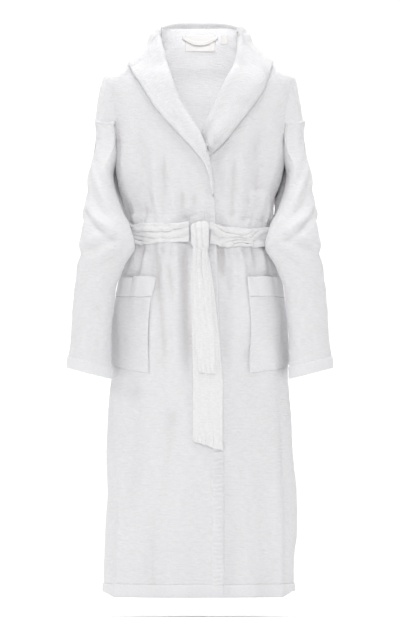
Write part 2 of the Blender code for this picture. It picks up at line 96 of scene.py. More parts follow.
# Front edges and lapel edges: height and distance from the middle, positive towards the wearer's left
RIGHT_EDGE = (
    (0.000, 0.0517),
    (0.320, 0.0517),
    (0.560, 0.0440),
    (0.742, 0.0374),
    (0.884, 0.0310),
    (0.970, 0.0190),
    (1.024, 0.0000),
    (1.054, -0.0198),
    (1.091, -0.0418),
    (1.131, -0.0572),
    (1.181, -0.0726),
    (1.225, -0.0814),
    (1.270, -0.0840),
)
LEFT_EDGE = (
    (0.000, -0.080),
    (0.780, -0.090),
    (0.900, -0.060),
    (1.024, 0.0000),
    (1.067, 0.0220),
    (1.100, 0.0374),
    (1.137, 0.0550),
    (1.170, 0.0726),
    (1.203, 0.0803),
    (1.270, 0.0830),
)
RIGHT_LAPEL = (
    (0.884, 0.0275),
    (0.924, 0.0215),
    (0.958, 0.0060),
    (0.988, -0.0154),
    (1.030, -0.0572),
    (1.076, -0.0968),
    (1.129, -0.1298),
    (1.170, -0.1520),
)
LEFT_LAPEL = (
    (0.960, 0.0090),
    (0.969, 0.0200),
    (0.992, 0.0440),
    (1.027, 0.0748),
    (1.071, 0.1078),
    (1.118, 0.1386),
    (1.166, 0.1540),
)
# Sleeve: height, centre out from the middle, centre forward, half-width, half-depth
SLEEVE = (
    (1.0750, 0.1810, 0.000, 0.0440, 0.058),
    (1.0500, 0.1840, 0.000, 0.0450, 0.060),
    (1.0000, 0.1985, 0.005, 0.0415, 0.068),
    (0.9300, 0.2175, 0.018, 0.0290, 0.070),
    (0.8530, 0.2125, 0.055, 0.0415, 0.066),
    (0.8200, 0.2056, 0.083, 0.0530, 0.060),
    (0.7770, 0.2020, 0.097, 0.0605, 0.058),
    (0.7350, 0.2170, 0.098, 0.0510, 0.059),
    (0.6820, 0.2305, 0.096, 0.0435, 0.060),
    (0.6000, 0.2380, 0.093, 0.0435, 0.060),
    (0.4917, 0.2443, 0.090, 0.0475, 0.060),
)
ARM_SEAM = 1.050
SHOULDER_END = 1.130
SHOULDER_DROP = 0.031
CAP_SPAN = math.radians(23)
CAP_TUCK = 0.0015
ARMPIT_SWELL = 0.024
CUFF_HEIGHT = 0.4917
CUFF_SLOPE = 0.25
CUFF_HEM = 0.027
HEM_DEPTH = 0.0287
FACING_WIDTH = 0.024
FACING_TOP = 0.880
COLLAR_TOP = 1.268
COLLAR_DIP = 0.010
BELT_LOW = 0.778
BELT_HIGH = 0.8225
BELT_MIDDLE = (BELT_LOW + BELT_HIGH) / 2
POCKET_INNER = 0.110
POCKET_OUTER_ANGLE = math.radians(78)
POCKET_TOP = 0.704
POCKET_BAND = 0.044
POCKET_BOTTOM = 0.493
POCKET_RISE = 0.018
TAIL_LEAN = math.radians(5.9)
TAIL_TOP = 0.765
# Half the gap at a seam in radians, how far cloth laps over its neighbour, and how far it reaches under
# the collar
SEAM = 0.0012
LAP = 0.0003
NECK_TUCK = 0.011
# Thickness of the cloth and tape that the sizes above don't set
POCKET_CLOTH = 0.0034
BELT_CLOTH = 0.0070
TAIL_CLOTH = 0.0048
LOOP_CLOTH = 0.0026
TAPE_CLOTH = 0.0016
LABEL_CLOTH = 0.0009
TAPE_WIDTH = 0.008
# How far a row of stitches lies from an edge, half its width, and how far apart the facing's puckers are
STITCH_INSET = 0.006
STITCH_WIDTH = 0.0016
PUCKER = 0.0100
# One loop of the pile in millimetres
LOOP = 1.6


def linear(code):
    """A colour's linear values from its sRGB hex code."""
    parts = [int(code[i : i + 2], 16) / 255 for i in (0, 2, 4)]
    return tuple(p / 12.92 if p <= 0.04045 else ((p + 0.055) / 1.055) ** 2.4 for p in parts)


class RobeSizes(bpy.types.PropertyGroup):
    """Cloth sizes that a maker would change."""

    terry: FloatProperty(
        name="Terry thickness", description="One layer of looped terry", default=0.004, unit="LENGTH"
    )
    collar: FloatProperty(
        name="Collar thickness", description="Doubled cloth of the collar", default=0.0085, unit="LENGTH"
    )
    pile: FloatProperty(
        name="Pile height", description="How far the loops stand out", default=0.0006, unit="LENGTH"
    )
    fold: FloatProperty(
        name="Fold depth", description="Scale of the folds in the body", default=2.3, subtype="FACTOR"
    )


def cloth_colour(name, description, code):
    """A colour setting with a default from a hex code."""
    return FloatVectorProperty(
        name=name, description=description, default=linear(code), size=3, subtype="COLOR"
    )


class RobeColours(bpy.types.PropertyGroup):
    """Cloth colours."""

    loop: cloth_colour("Loop tips", "Terry colour on its loops", "F6F6F8")
    # Painted shade: the darker colour goes on the low parts of the pile's relief, between the loops.
    pile_hollow_shade: cloth_colour("Pile hollow shade", "Terry colour between loops", "EFEEF0")
    tape: cloth_colour("Tape", "Woven tape of loop and labels", "F1EFEE")


def curve(points, at, column=1):
    """A smooth curve through points, read at a height: cubic pieces with slopes that never overshoot."""
    table = np.array(sorted(points))
    x = table[:, 0]
    y = table[:, column]
    step = np.diff(x)
    rise = np.diff(y) / step
    slope = np.zeros(len(x))
    slope[0] = rise[0]
    slope[-1] = rise[-1]
    same_way = rise[:-1] * rise[1:] > 0
    safe = np.where(same_way, rise[:-1] + rise[1:], 1.0)
    slope[1:-1] = np.where(same_way, 2.0 * rise[:-1] * rise[1:] / safe, 0.0)
    at = np.clip(np.asarray(at, dtype=float), x[0], x[-1])
    k = np.clip(np.searchsorted(x, at, side="right") - 1, 0, len(x) - 2)
    t = (at - x[k]) / step[k]
    return (
        y[k] * (2 * t**3 - 3 * t**2 + 1)
        + slope[k] * step[k] * (t**3 - 2 * t**2 + t)
        + y[k + 1] * (3 * t**2 - 2 * t**3)
        + slope[k + 1] * step[k] * (t**3 - t**2)
    )


def smoothstep(value, low, high):
    """0 below low, 1 above high, and a smooth cubic between."""
    t = np.clip((value - low) / (high - low), 0.0, 1.0)
    return t * t * (3.0 - 2.0 * t)


def bell(distance, width):
    """1 in the middle of a seam or crease, falling to 0 on both sides."""
    return np.exp(-((distance / width) ** 2))


def lattice(i, j, seed):
    """A fixed pseudo-random value from -1 to 1 for each whole-number cell."""
    mixed = np.sin(i * 127.1 + j * 311.7 + seed * 74.7) * 43758.5453
    return 2.0 * (mixed - np.floor(mixed)) - 1.0


def ripple(u, v, seed):
    """Smooth noise from -1 to 1: lattice values joined by quintic steps."""
    i = np.floor(u)
    j = np.floor(v)
    s = u - i
    t = v - j
    s = s**3 * (s * (6 * s - 15) + 10)
    t = t**3 * (t * (6 * t - 15) + 10)
    low = lattice(i, j, seed) * (1 - s) + lattice(i + 1, j, seed) * s
    high = lattice(i, j + 1, seed) * (1 - s) + lattice(i + 1, j + 1, seed) * s
    return low * (1 - t) + high * t


def pile(u, v, seed, height):
    """Unevenness of the pile: two octaves of noise over metres, a few millimetres across."""
    coarse = 0.6 * ripple(u / 0.009, v / 0.006, seed)
    return height * (coarse + 0.4 * ripple(u / 0.0045, v / 0.0035, seed + 5))


def signed_power(value, power):
    return np.sign(value) * np.abs(value) ** power


def angle_at(x, height):
    """The body angle of a point on the front half that lies x from the middle."""
    share = np.clip(np.abs(x) / curve(BODY, height, 1), 0.0, 1.0)
    return np.sign(x) * np.arcsin(share ** (SQUARENESS / 2.0))


def seam_height(angle):
    """The arm seam runs lower towards the chest and the back than over the arm."""
    return ARM_SEAM - 0.020 * (1.0 - smoothstep(np.abs(np.sin(angle)), 0.80, 0.99))


def arm_side(angle):
    """1 at the side of the body where the arm hangs, 0 over the chest and the back."""
    return smoothstep(np.abs(np.sin(angle)), 0.916, 0.964)


def shoulder_bulge(angle, height):
    """How far the dropped shoulder stands out from the body's own section; it ends under the sleeve."""
    fade = np.clip((SHOULDER_END - height) / (SHOULDER_END - ARM_SEAM), 0.0, 1.1)
    above = smoothstep(height, seam_height(angle) - 0.045, seam_height(angle) - 0.006)
    return SHOULDER_DROP * fade * arm_side(angle) * above


def base_point(angle, height, bulge=True):
    """The plain body: a rounded section a|sin|^p by b|cos|^p whose half-sizes follow the height."""
    power = 2.0 / SQUARENESS
    wide = curve(BODY, height, 1) + (shoulder_bulge(angle, height) if bulge else 0.0)
    deep = curve(BODY, height, 2)
    x = wide * signed_power(np.sin(angle), power)
    y = -deep * signed_power(np.cos(angle), power)
    return np.stack([x, y, height + 0.0 * angle], axis=-1)


def grid_normals(points, wrap=False):
    """Unit normals of a grid of points from the cross product of its two directions, pointing outwards."""
    if wrap:
        across = np.roll(points, -1, axis=1) - np.roll(points, 1, axis=1)
    else:
        across = np.gradient(points, axis=1)
    along = np.gradient(points, axis=0)
    normal = np.cross(across, along)
    return normal / np.maximum(np.linalg.norm(normal, axis=-1, keepdims=True), 1e-12)


# Front folds, each a crease with a soft ridge beside it. Heights and distances from the middle in metres:
# x at top, top, x at bottom, bottom, bow, width and depth, which is negative for a valley.
FRONT_FOLDS = (
    (-0.081, 0.995, -0.070, 0.838, -0.004, 0.010, -0.0045),
    (-0.116, 0.900, -0.112, 0.830, 0.002, 0.008, -0.0035),
    (-0.139, 1.030, -0.128, 0.840, 0.006, 0.016, -0.0060),
    (-0.040, 0.905, -0.036, 0.830, 0.000, 0.008, -0.0030),
    (-0.012, 0.900, -0.010, 0.835, 0.000, 0.007, -0.0025),
    (0.075, 0.990, 0.068, 0.838, 0.003, 0.009, -0.0040),
    (0.103, 0.905, 0.103, 0.830, 0.002, 0.008, -0.0040),
    (0.143, 1.040, 0.134, 0.890, -0.004, 0.016, -0.0055),
    (0.124, 0.880, 0.128, 0.828, 0.000, 0.007, -0.0030),
    (-0.097, 0.770, -0.073, 0.434, 0.004, 0.010, -0.0050),
    (-0.116, 0.768, -0.104, 0.655, 0.003, 0.008, -0.0040),
    (-0.080, 0.770, -0.062, 0.640, 0.002, 0.007, -0.0040),
    (-0.062, 0.768, -0.050, 0.560, 0.000, 0.008, -0.0035),
    (-0.036, 0.765, -0.026, 0.430, 0.002, 0.010, -0.0045),
    (-0.130, 0.766, -0.128, 0.690, 0.000, 0.007, -0.0030),
    (0.042, 0.770, 0.052, 0.680, 0.000, 0.006, -0.0040),
    (0.057, 0.772, 0.066, 0.640, 0.002, 0.007, -0.0045),
    (0.073, 0.768, 0.090, 0.610, 0.003, 0.008, -0.0035),
    (0.096, 0.768, 0.112, 0.660, 0.002, 0.008, -0.0030),
    (0.118, 0.766, 0.128, 0.700, 0.000, 0.007, -0.0030),
    (-0.150, 0.480, -0.160, 0.100, 0.000, 0.022, -0.0050),
    (-0.060, 0.420, -0.085, 0.080, 0.006, 0.020, -0.0055),
    (0.105, 0.560, 0.115, 0.150, -0.004, 0.026, -0.0050),
    (0.160, 0.480, 0.168, 0.080, 0.000, 0.020, -0.0040),
)


def fold(x, height, top_x, top, low_x, low, bow, width, depth):
    """One fold: a bell across its width, a lower one of the other sign beside it, faded at both ends."""
    t = (top - height) / (top - low)
    centre = top_x + (low_x - top_x) * t + bow * 4.0 * t * (1.0 - t)
    spread = width * (1.0 + 0.6 * np.clip(t, 0.0, 1.0))
    q = (x - centre) / spread
    ends = smoothstep(t, -0.06, 0.10) * (1.0 - smoothstep(t, 0.45, 1.08))
    if low > BELT_HIGH:
        ends = smoothstep(t, -0.05, 0.45) * (1.0 - smoothstep(t, 0.94, 1.06))
    side = 1.0 if low_x > 0 else -1.0
    return depth * ends * (bell(q, 1.0) - 0.55 * bell(q - 1.9 * side, 1.0))


def gathers(angle, height):
    """Gathers that leave the belt all round and die out up the chest and down the skirt."""
    total = np.zeros_like(angle + height)
    turns = 34
    for k in range(turns):
        wobble = lattice(float(k), 3.0, 1.0)
        reach = lattice(float(k), 7.0, 2.0)
        start = -math.pi + 2.0 * math.pi * (k + 0.5 + 0.35 * wobble) / turns
        below = np.clip((BELT_LOW - height) / (0.16 + 0.11 * reach), 0.0, 1.5)
        above = np.clip((height - BELT_HIGH) / (0.075 + 0.035 * reach), 0.0, 1.5)
        fade = np.exp(-2.4 * below**1.4) * np.exp(-2.4 * above**1.4)
        drift = start + 0.05 * wobble * below
        width = 0.055 + 0.05 * below + 0.03 * above
        q = np.angle(np.exp(1j * (angle - drift))) / width
        total = total - (0.0028 + 0.0010 * reach) * fade * (bell(q, 1.0) - 0.35 * bell(q - 1.7, 1.0))
    return total


def skirt_waves(angle, height):
    """Broad drapes that grow down the skirt, a sum of a few whole-number waves round the body."""
    down = smoothstep(-height, -0.62, -0.05)
    calm = 1.0 - 0.45 * smoothstep(np.cos(angle), 0.35, 0.95)
    calm = calm - 0.85 * smoothstep(np.abs(np.sin(angle)), 0.80, 0.97)
    wave = np.cos(7 * angle + 0.6) + 0.7 * np.cos(11 * angle + 2.1 + 1.2 * height)
    return 0.0042 * down * calm * (wave + 0.5 * np.cos(17 * angle + 4.0))


def blouse(height):
    """The body swells a little over and under the tight belt."""
    over = bell(height - 0.853, 0.026)
    under = bell(height - 0.744, 0.028)
    press = np.exp(-(((height - BELT_MIDDLE) / 0.020) ** 4))
    return 0.0050 * over + 0.0035 * under - 0.0020 * press


def cloth_relief(angle, height, strength):
    """All folds of the body cloth as a distance outwards."""
    x = base_point(angle, height)[..., 0]
    front = smoothstep(np.cos(angle), 0.0, 0.25)
    relief = gathers(angle, height) + skirt_waves(angle, height)
    for row in FRONT_FOLDS:
        relief = relief + front * fold(x, height, *row)
    belt = np.exp(-(((height - BELT_MIDDLE) / 0.026) ** 4))
    relief = relief * (1.0 - 0.85 * belt)
    shoulder = smoothstep(height, 1.10, 1.16)
    relief = relief + (1.0 - shoulder) * 0.0022 * ripple(angle * 2.6, height * 5.0, 11)
    relief = relief + 0.0011 * ripple(angle * 6.0, height * 13.0, 12) * (1.0 - belt)
    shape = blouse(height) * (0.6 + 0.4 * np.abs(np.cos(angle)))
    return strength * relief * (1.0 - 0.8 * smoothstep(height, 1.17, 1.24)) + shape


def body_grid(angle, height, offset=0.0, bulge=True):
    """The folded body surface offset outwards, with its normals."""
    angle, height = np.broadcast_arrays(angle, height)
    strength = bpy.context.scene.robe_sizes.fold
    plain = base_point(angle, height, bulge)
    normal = grid_normals(plain)
    outward = np.stack([np.sin(angle), -np.cos(angle), 0.0 * angle], axis=-1)
    normal = normal * np.sign(np.sum(np.mean(normal * outward, axis=(0, 1))))
    points = plain + normal * (cloth_relief(angle, height, strength) + offset)[..., None]
    finer = grid_normals(points)
    return points, finer * np.sign(np.sum(np.mean(finer * normal, axis=(0, 1))))


def border_shares(count, reach):
    """Shares from 0 to 1 with extra lines close to both ends, where a cloth edge is rounded."""
    rim = np.array([0.0, 0.06, 0.25, 0.60, 1.0]) * reach
    inside = np.linspace(rim[-1], 1.0 - rim[-1], count)
    return np.concatenate([rim[:-1], inside, 1.0 - rim[:-1][::-1]])


def rim_factor(distance, radius):
    """The share of full thickness near an edge: a quarter circle that rises over the radius."""
    t = np.clip(distance / radius, 0.0, 1.0)
    return np.maximum(np.sqrt(np.clip(1.0 - (1.0 - t) ** 2, 0.0, 1.0)), 0.12)


def run_lengths(points, axis):
    """Distances along one direction of a grid, measured from its start."""
    steps = np.linalg.norm(np.diff(points, axis=axis), axis=-1)
    pad = [(0, 0), (0, 0)]
    pad[axis] = (1, 0)
    return np.cumsum(np.pad(steps, pad), axis=axis)


def from_sides(points):
    """How far each grid point lies from the nearer of the grid's two side edges."""
    across = run_lengths(points, 1)
    return np.minimum(across, across[:, -1:] - across)


def from_ends(points):
    """How far each grid point lies from the nearer of the grid's first and last rows."""
    along = run_lengths(points, 0)
    return np.minimum(along, along[-1:] - along)


def hollows(points, normal, reach, wrap):
    """How far each grid point lies below the middle of its neighbours a few steps away, in metres."""
    sides = "wrap" if wrap else "edge"
    wide = np.pad(points, ((0, 0), (reach, reach), (0, 0)), mode=sides)
    wide = np.pad(wide, ((reach, reach), (0, 0), (0, 0)), mode="edge")
    inner = slice(reach, -reach)
    far = 2 * reach
    across = (wide[inner, far:] + wide[inner, :-far]) / 2.0 - points
    along = (wide[far:, inner] + wide[:-far, inner]) / 2.0 - points
    return np.sum((across + along) * normal, axis=-1)


def add_mesh(name, vertices, faces, uv, material, crease=None):
    """A mesh from points and quads, with a UV in metres and painted crease shade: how much each point is
    darkened in a crease.
    """
    mesh = bpy.data.meshes.new(name)
    mesh.vertices.add(len(vertices))
    mesh.vertices.foreach_set("co", vertices.astype(np.float32).ravel())
    corners = faces.ravel()
    mesh.loops.add(len(corners))
    mesh.loops.foreach_set("vertex_index", corners.astype(np.int32))
    mesh.polygons.add(len(faces))
    mesh.polygons.foreach_set("loop_start", np.arange(0, len(corners), 4, dtype=np.int32))
    layer = mesh.uv_layers.new(name="cloth")
    layer.data.foreach_set("uv", uv[corners].astype(np.float32).ravel())
    # The crease attribute carries painted shade, by which the terry material darkens and warms the colour.
    if crease is not None:
        shade = mesh.attributes.new("crease", "FLOAT", "POINT")
        shade.data.foreach_set("value", crease.astype(np.float32).ravel())
    mesh.update(calc_edges=True)
    mesh.validate()
    mesh.shade_smooth()
    mesh.materials.append(material)
    made = bpy.data.objects.new(name, mesh)
    bpy.context.scene.collection.objects.link(made)
    return made


def cloth(name, middle, normal, thickness, material, wrap=False, seed=1, soft=1.0):
    """A closed slab of cloth round a grid: half its thickness to each side, with pile on its outer face.

    The thickness is a number or a grid that shrinks to a thin rim at the borders, so edges are round.
    """
    rows, columns = middle.shape[:2]
    along = run_lengths(middle, 0)
    across = run_lengths(middle, 1)
    u = across - across[:, columns // 2 : columns // 2 + 1]
    loops = pile(u, along, seed, bpy.context.scene.robe_sizes.pile * soft)
    half = np.broadcast_to(np.asarray(thickness, dtype=float) / 2.0, (rows, columns))
    outer = middle + normal * (half + loops)[..., None]
    inner = middle - normal * half[..., None]
    index = np.arange(rows * columns).reshape(rows, columns)
    right = np.roll(index, -1, axis=1) if wrap else index[:, 1:]
    left = index if wrap else index[:, :-1]
    quads = np.stack([left[:-1], right[:-1], right[1:], left[1:]], axis=-1).reshape(-1, 4)
    count = rows * columns
    parts = [quads, quads[:, ::-1] + count]
    rims = [(left[0], right[0], True), (left[-1], right[-1], False)]
    if not wrap:
        rims += [(index[:-1, 0], index[1:, 0], False), (index[:-1, -1], index[1:, -1], True)]
    for a, b, flip in rims:
        rim = np.stack([a, b, b + count, a + count], axis=-1)
        parts.append(rim[:, ::-1] if flip else rim)
    faces = np.concatenate(parts)
    vertices = np.concatenate([outer.reshape(-1, 3), inner.reshape(-1, 3)])
    if signed_volume(vertices, faces) < 0:
        faces = faces[:, ::-1]
    flat = np.stack([u, along], axis=-1).reshape(-1, 2)
    # Painted shade: points that lie below their neighbours, in creases and folds, are darkened by the
    # crease attribute.
    deep = 0.22 * np.clip(hollows(middle, normal, 2, wrap) / 0.0040 - 0.30, 0.0, 1.0)
    deep = (deep + 0.08 * np.clip(hollows(middle, normal, 6, wrap) / 0.0120, 0.0, 1.0)).ravel()
    twice = np.concatenate([flat, flat])
    return add_mesh(name, vertices, faces, twice, material, np.concatenate([deep, deep]))


def signed_volume(vertices, faces):
    """Volume inside a closed quad mesh, negative if its faces point inwards."""
    a, b, c, d = (vertices[faces[:, k]] for k in range(4))
    return float(np.sum(np.cross(a, b) * c) + np.sum(np.cross(a, c) * d)) / 6.0


def add_node(nodes, kind, links=(), **settings):
    """A shader node with its settings, and links given as (its input, an output)."""
    node = nodes.new(kind)
    for key, value in settings.items():
        if key in node.inputs:
            node.inputs[key].default_value = value
        else:
            setattr(node, key, value)
    for socket, source in links:
        node.id_data.links.new(source, node.inputs[socket])
    return node


def new_material(name, **settings):
    """A material, its nodes and its shader, with the shader's settings."""
    material = bpy.data.materials.new(name)
    material.use_nodes = True
    nodes = material.node_tree.nodes
    shader = nodes["Principled BSDF"]
    for key, value in settings.items():
        shader.inputs[key.replace("_", " ")].default_value = value
    return material, nodes, shader


def colour_ramp(nodes, source, low, low_colour, high, high_colour):
    """A ramp between two colours at two positions."""
    ramp = add_node(nodes, "ShaderNodeValToRGB", links=[("Fac", source)])
    ends = ramp.color_ramp.elements
    ends[0].position = low
    ends[0].color = (*low_colour, 1.0)
    ends[1].position = high
    ends[1].color = (*high_colour, 1.0)
    return ramp.outputs["Color"]


def terry_material(name, streak, row, relief, loop_colour, pile_hollow_shade_colour):
    """Cotton terry, woven with loops left proud: matt, with a soft sheen from its fuzz.

    streak is how long a row of loops reads sideways and row how high it is, both in millimetres. Creases,
    which the piece's own attribute marks, get painted shade: a little darker and warmer.
    """
    material, nodes, shader = new_material(
        name, Roughness=0.95, IOR=1.45, Specular_IOR_Level=0.15, Sheen_Weight=0.12, Sheen_Roughness=0.55
    )
    links = material.node_tree.links
    place = add_node(nodes, "ShaderNodeUVMap", uv_map="cloth")
    vector = [("Vector", place.outputs["UV"])]
    scale = (1000.0 / streak, 1000.0 / row, 1.0)
    stretched = add_node(nodes, "ShaderNodeMapping", links=vector, Scale=scale)
    wide = [("Vector", stretched.outputs[0])]
    rows = add_node(nodes, "ShaderNodeTexNoise", links=wide, Scale=1.0, Detail=3.0, Roughness=0.6)
    even = add_node(nodes, "ShaderNodeMapping", links=vector, Scale=(1000.0 / LOOP, 1000.0 / LOOP, 1.0))
    fine = [("Vector", even.outputs[0])]
    loops = add_node(
        nodes, "ShaderNodeTexVoronoi", links=fine, feature="SMOOTH_F1", Scale=1.0, Smoothness=0.4
    )
    both = [(0, loops.outputs["Distance"]), (2, rows.outputs["Fac"])]
    height = add_node(nodes, "ShaderNodeMath", links=both, operation="MULTIPLY_ADD")
    height.inputs[1].default_value = -0.18
    up = [("Height", height.outputs[0])]
    bump = add_node(nodes, "ShaderNodeBump", links=up, Strength=relief, Distance=0.0030)
    links.new(bump.outputs["Normal"], shader.inputs["Normal"])
    # Painted shade: where the pile's relief is low, between the loops and along its rows, the colour is
    # darker.
    ramp = colour_ramp(nodes, height.outputs[0], 0.25, pile_hollow_shade_colour, 0.60, loop_colour)
    # Painted shade in creases: the crease attribute mixes in a darker, warmer colour.
    crease_shade_mask = add_node(nodes, "ShaderNodeAttribute", attribute_name="crease")
    mix = [("Factor", crease_shade_mask.outputs["Fac"]), ("A", ramp)]
    shade = add_node(nodes, "ShaderNodeMix", links=mix, data_type="RGBA")
    shade.inputs["B"].default_value = (*linear("D6D0CD"), 1.0)
    links.new(shade.outputs["Result"], shader.inputs["Base Color"])
    return material


def tape_material(name, colour):
    """Woven satin tape: fine ribs across its length and a faint gloss."""
    material, nodes, shader = new_material(name, Roughness=0.55, Sheen_Weight=0.1)
    links = material.node_tree.links
    place = add_node(nodes, "ShaderNodeUVMap", uv_map="cloth")
    vector = [("Vector", place.outputs["UV"])]
    ribs = add_node(
        nodes, "ShaderNodeTexWave", links=vector, bands_direction="Y", Scale=160.0, Distortion=0.4
    )
    up = [("Height", ribs.outputs["Fac"])]
    bump = add_node(nodes, "ShaderNodeBump", links=up, Strength=0.35, Distance=0.0003)
    links.new(bump.outputs["Normal"], shader.inputs["Normal"])
    darker = tuple(0.86 * c for c in colour)
    ramp = colour_ramp(nodes, ribs.outputs["Fac"], 0.0, darker, 1.0, colour)
    links.new(ramp, shader.inputs["Base Color"])
    return material


def cloth_materials():
    """The robe's materials by common name, made once."""
    if "cotton terry" not in bpy.data.materials:
        colours = bpy.context.scene.robe_colours
        loop = tuple(colours.loop)
        pile_hollow_shade = tuple(colours.pile_hollow_shade)
        terry_material("cotton terry", 15.0, 3.8, 0.85, loop, pile_hollow_shade)
        # The belt's terry is a lighter copy of the body's: painted light that makes the belt read brighter.
        terry_material("belt terry with painted light", 9.0, 3.0, 0.55, linear("FAFAFB"), linear("F2F1F2"))
        terry_material("stitched terry", 6.0, 2.4, 0.35, linear("F5F5F7"), linear("EFEEF0"))
        tape_material("woven tape", tuple(colours.tape))
    return bpy.data.materials


def panel_rows(low, high, spacing=0.0052):
    """Heights of a panel's rows, closer together at its lower edge."""
    count = max(3, int((high - low) / spacing))
    rows = np.linspace(low, high, count)
    rim = low + np.array([0.0003, 0.0009, 0.0018, 0.0032])
    return np.unique(np.concatenate([rows, rim]))


def panel(name, start, end, low, high, columns, sink, thickness, material, seed):
    """One body panel between two angles, each a function of height."""
    heights = panel_rows(low, high)[:, None]
    share = border_shares(columns, 0.012)[None, :]
    angle = start(heights) + (end(heights) - start(heights)) * share
    height = heights + 0.0 * share
    points, normal = body_grid(angle, height)
    points = points - normal * (sink(points[..., 0], height) + thickness / 2)[..., None]
    full = thickness * rim_factor(from_sides(points), 0.003) * rim_factor(height - low, 0.003)
    return cloth(name, points, normal, full, material, seed=seed)


def left_sink(x, height):
    """The left front lies one layer deeper wherever the right front covers it."""
    edge = curve(RIGHT_EDGE, height)
    return 0.0056 * (1.0 - smoothstep(x, edge + 0.004, edge + 0.050))


def no_sink(x, height):
    return 0.0 * x


def constant(value):
    return lambda height: value + 0.0 * height


def edge_angle(points, shift):
    """The angle of a front edge moved sideways by a shift, as a function of height."""
    return lambda height: angle_at(curve(points, height) + shift, height)


class ROBE_OT_panels(bpy.types.Operator):
    """Back and front panels, with their facings and hems"""

    bl_idname = "robe.panels"
    bl_label = "Body panels"

    def execute(self, context):
        looks = cloth_materials()
        terry = looks["cotton terry"]
        stitched = looks["stitched terry"]
        thick = context.scene.robe_sizes.terry
        quarter = math.pi / 2
        low = HEM_DEPTH - LAP
        back = (constant(quarter + SEAM), constant(3 * quarter - SEAM))
        right = constant(-quarter + SEAM)
        left = constant(quarter - SEAM)
        panels = (
            ("back_panel", *back, 118, no_sink, (0.72, 1.22)),
            ("right_front", right, edge_angle(RIGHT_EDGE, -0.003), 66, no_sink, (0.36, 1.15)),
            ("left_front", left, edge_angle(LEFT_EDGE, 0.003), 80, left_sink, (0.40, 1.15)),
        )
        top = HIGH_NECK + NECK_TUCK
        for seed, (node, start, end, columns, sink, flat) in enumerate(panels):
            made = panel("terry_" + node, start, end, low, top, columns, sink, thick, terry, seed + 1)
            settle(made, "root", "terry", node)
        edges = (
            ("right_front_facing", RIGHT_EDGE, -1, no_sink),
            ("left_front_facing", LEFT_EDGE, 1, left_sink),
        )
        for seed, (node, points, inward, sink) in enumerate(edges):
            made = facing("terry_" + node, points, inward, sink, thick, stitched, seed + 11)
            settle(made, "root", "terry_band", node)
        hems = (
            ("back_hem", *back, 150, no_sink, (0.72, 0.030)),
            ("right_front_hem", right, edge_angle(RIGHT_EDGE, 0.0), 84, no_sink, (0.38, 0.030)),
            ("left_front_hem", left, edge_angle(LEFT_EDGE, 0.0), 90, left_sink, (0.42, 0.030)),
        )
        for seed, (node, start, end, columns, sink, flat) in enumerate(hems):
            made = hem("terry_" + node, start, end, columns, sink, thick, stitched, seed + 21)
            settle(made, "root", "terry_band", node)
        return {"FINISHED"}


def settle(made, body, slot, *nodes):
    """Says which body a piece rides on and which nodes it stands for; slot is not used."""
    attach(made, body)
    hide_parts(*nodes)


def facing(name, points, inward, sink, thick, material, seed):
    """The doubled strip down a front edge, laid on the panel and puckered by its stitching.

    The pucker is a cosine along the strip, one ridge a centimetre, strongest in the middle of its width.
    """
    heights = np.linspace(HEM_DEPTH - 0.002, FACING_TOP, 720)[:, None]
    share = border_shares(7, 0.10)[None, :]
    height = heights + 0.0 * share
    x = curve(points, height) + inward * FACING_WIDTH * share
    grid, normal = body_grid(angle_at(x, height), height)
    beat = height + 0.0012 * ripple(height * 30.0, share * 2.0, seed)
    wave = np.cos(2.0 * math.pi * beat / PUCKER + 1.3 * share)
    strength = 0.0019 * (0.30 + 0.70 * smoothstep(-height, -0.60, -0.42)) * np.sin(math.pi * share) ** 0.8
    proud = 0.0018 * (1.0 - smoothstep(height, FACING_TOP - 0.06, FACING_TOP))
    grid = grid + normal * (proud + strength * wave - sink(grid[..., 0], height) - thick / 2)[..., None]
    full = (thick + 0.0010) * rim_factor(from_sides(grid), 0.0018)
    return cloth(name, grid, normal, full, material, seed=seed, soft=0.7)


def hem(name, start, end, columns, sink, thick, material, seed):
    """A turned-up hem band: a doubled strip with a round lower edge that rises at the side seams."""
    heights = (HEM_DEPTH * border_shares(9, 0.08))[:, None]
    share = border_shares(columns, 0.01)[None, :]
    angle = start(heights) + (end(heights) - start(heights)) * share
    corner = smoothstep(np.abs(np.sin(angle)), 0.86, 1.0) * (1.0 - heights / HEM_DEPTH) ** 2
    height = heights + 0.011 * corner
    grid, normal = body_grid(angle, height)
    wave = 0.0006 * ripple(run_lengths(grid, 1) / 0.012, height / 0.02, seed)
    grid = grid + normal * (0.0012 + wave - sink(grid[..., 0], height) - thick / 2)[..., None]
    full = (thick + 0.0020) * rim_factor(from_sides(grid), 0.003) * rim_factor(heights, 0.004)
    full = full * rim_factor(HEM_DEPTH - heights, 0.003)
    return cloth(name, grid, normal, full, material, seed=seed, soft=0.7)


def collar_border(points, low, high, steps, end, rise=0.0):
    """Angles and heights of a lapel's border: up its front, then round the neck, where it rises."""
    climb = np.clip(steps / 0.82, 0.0, 1.0)
    height = low + (high - low) * climb
    angle = angle_at(curve(points, height), height)
    turn = np.clip((steps - 0.82) / 0.18, 0.0, 1.0)
    return angle + (end - angle) * turn, height + rise * smoothstep(turn, 0.0, 1.0)


def round_corners(values, reach=5):
    """A running mean along a border, which keeps its two ends."""
    ends = np.concatenate([np.full(reach, values[0]), values, np.full(reach, values[-1])])
    mean = np.convolve(ends, np.ones(2 * reach + 1) / (2 * reach + 1), "valid")
    mean[0] = values[0]
    mean[-1] = values[-1]
    return mean


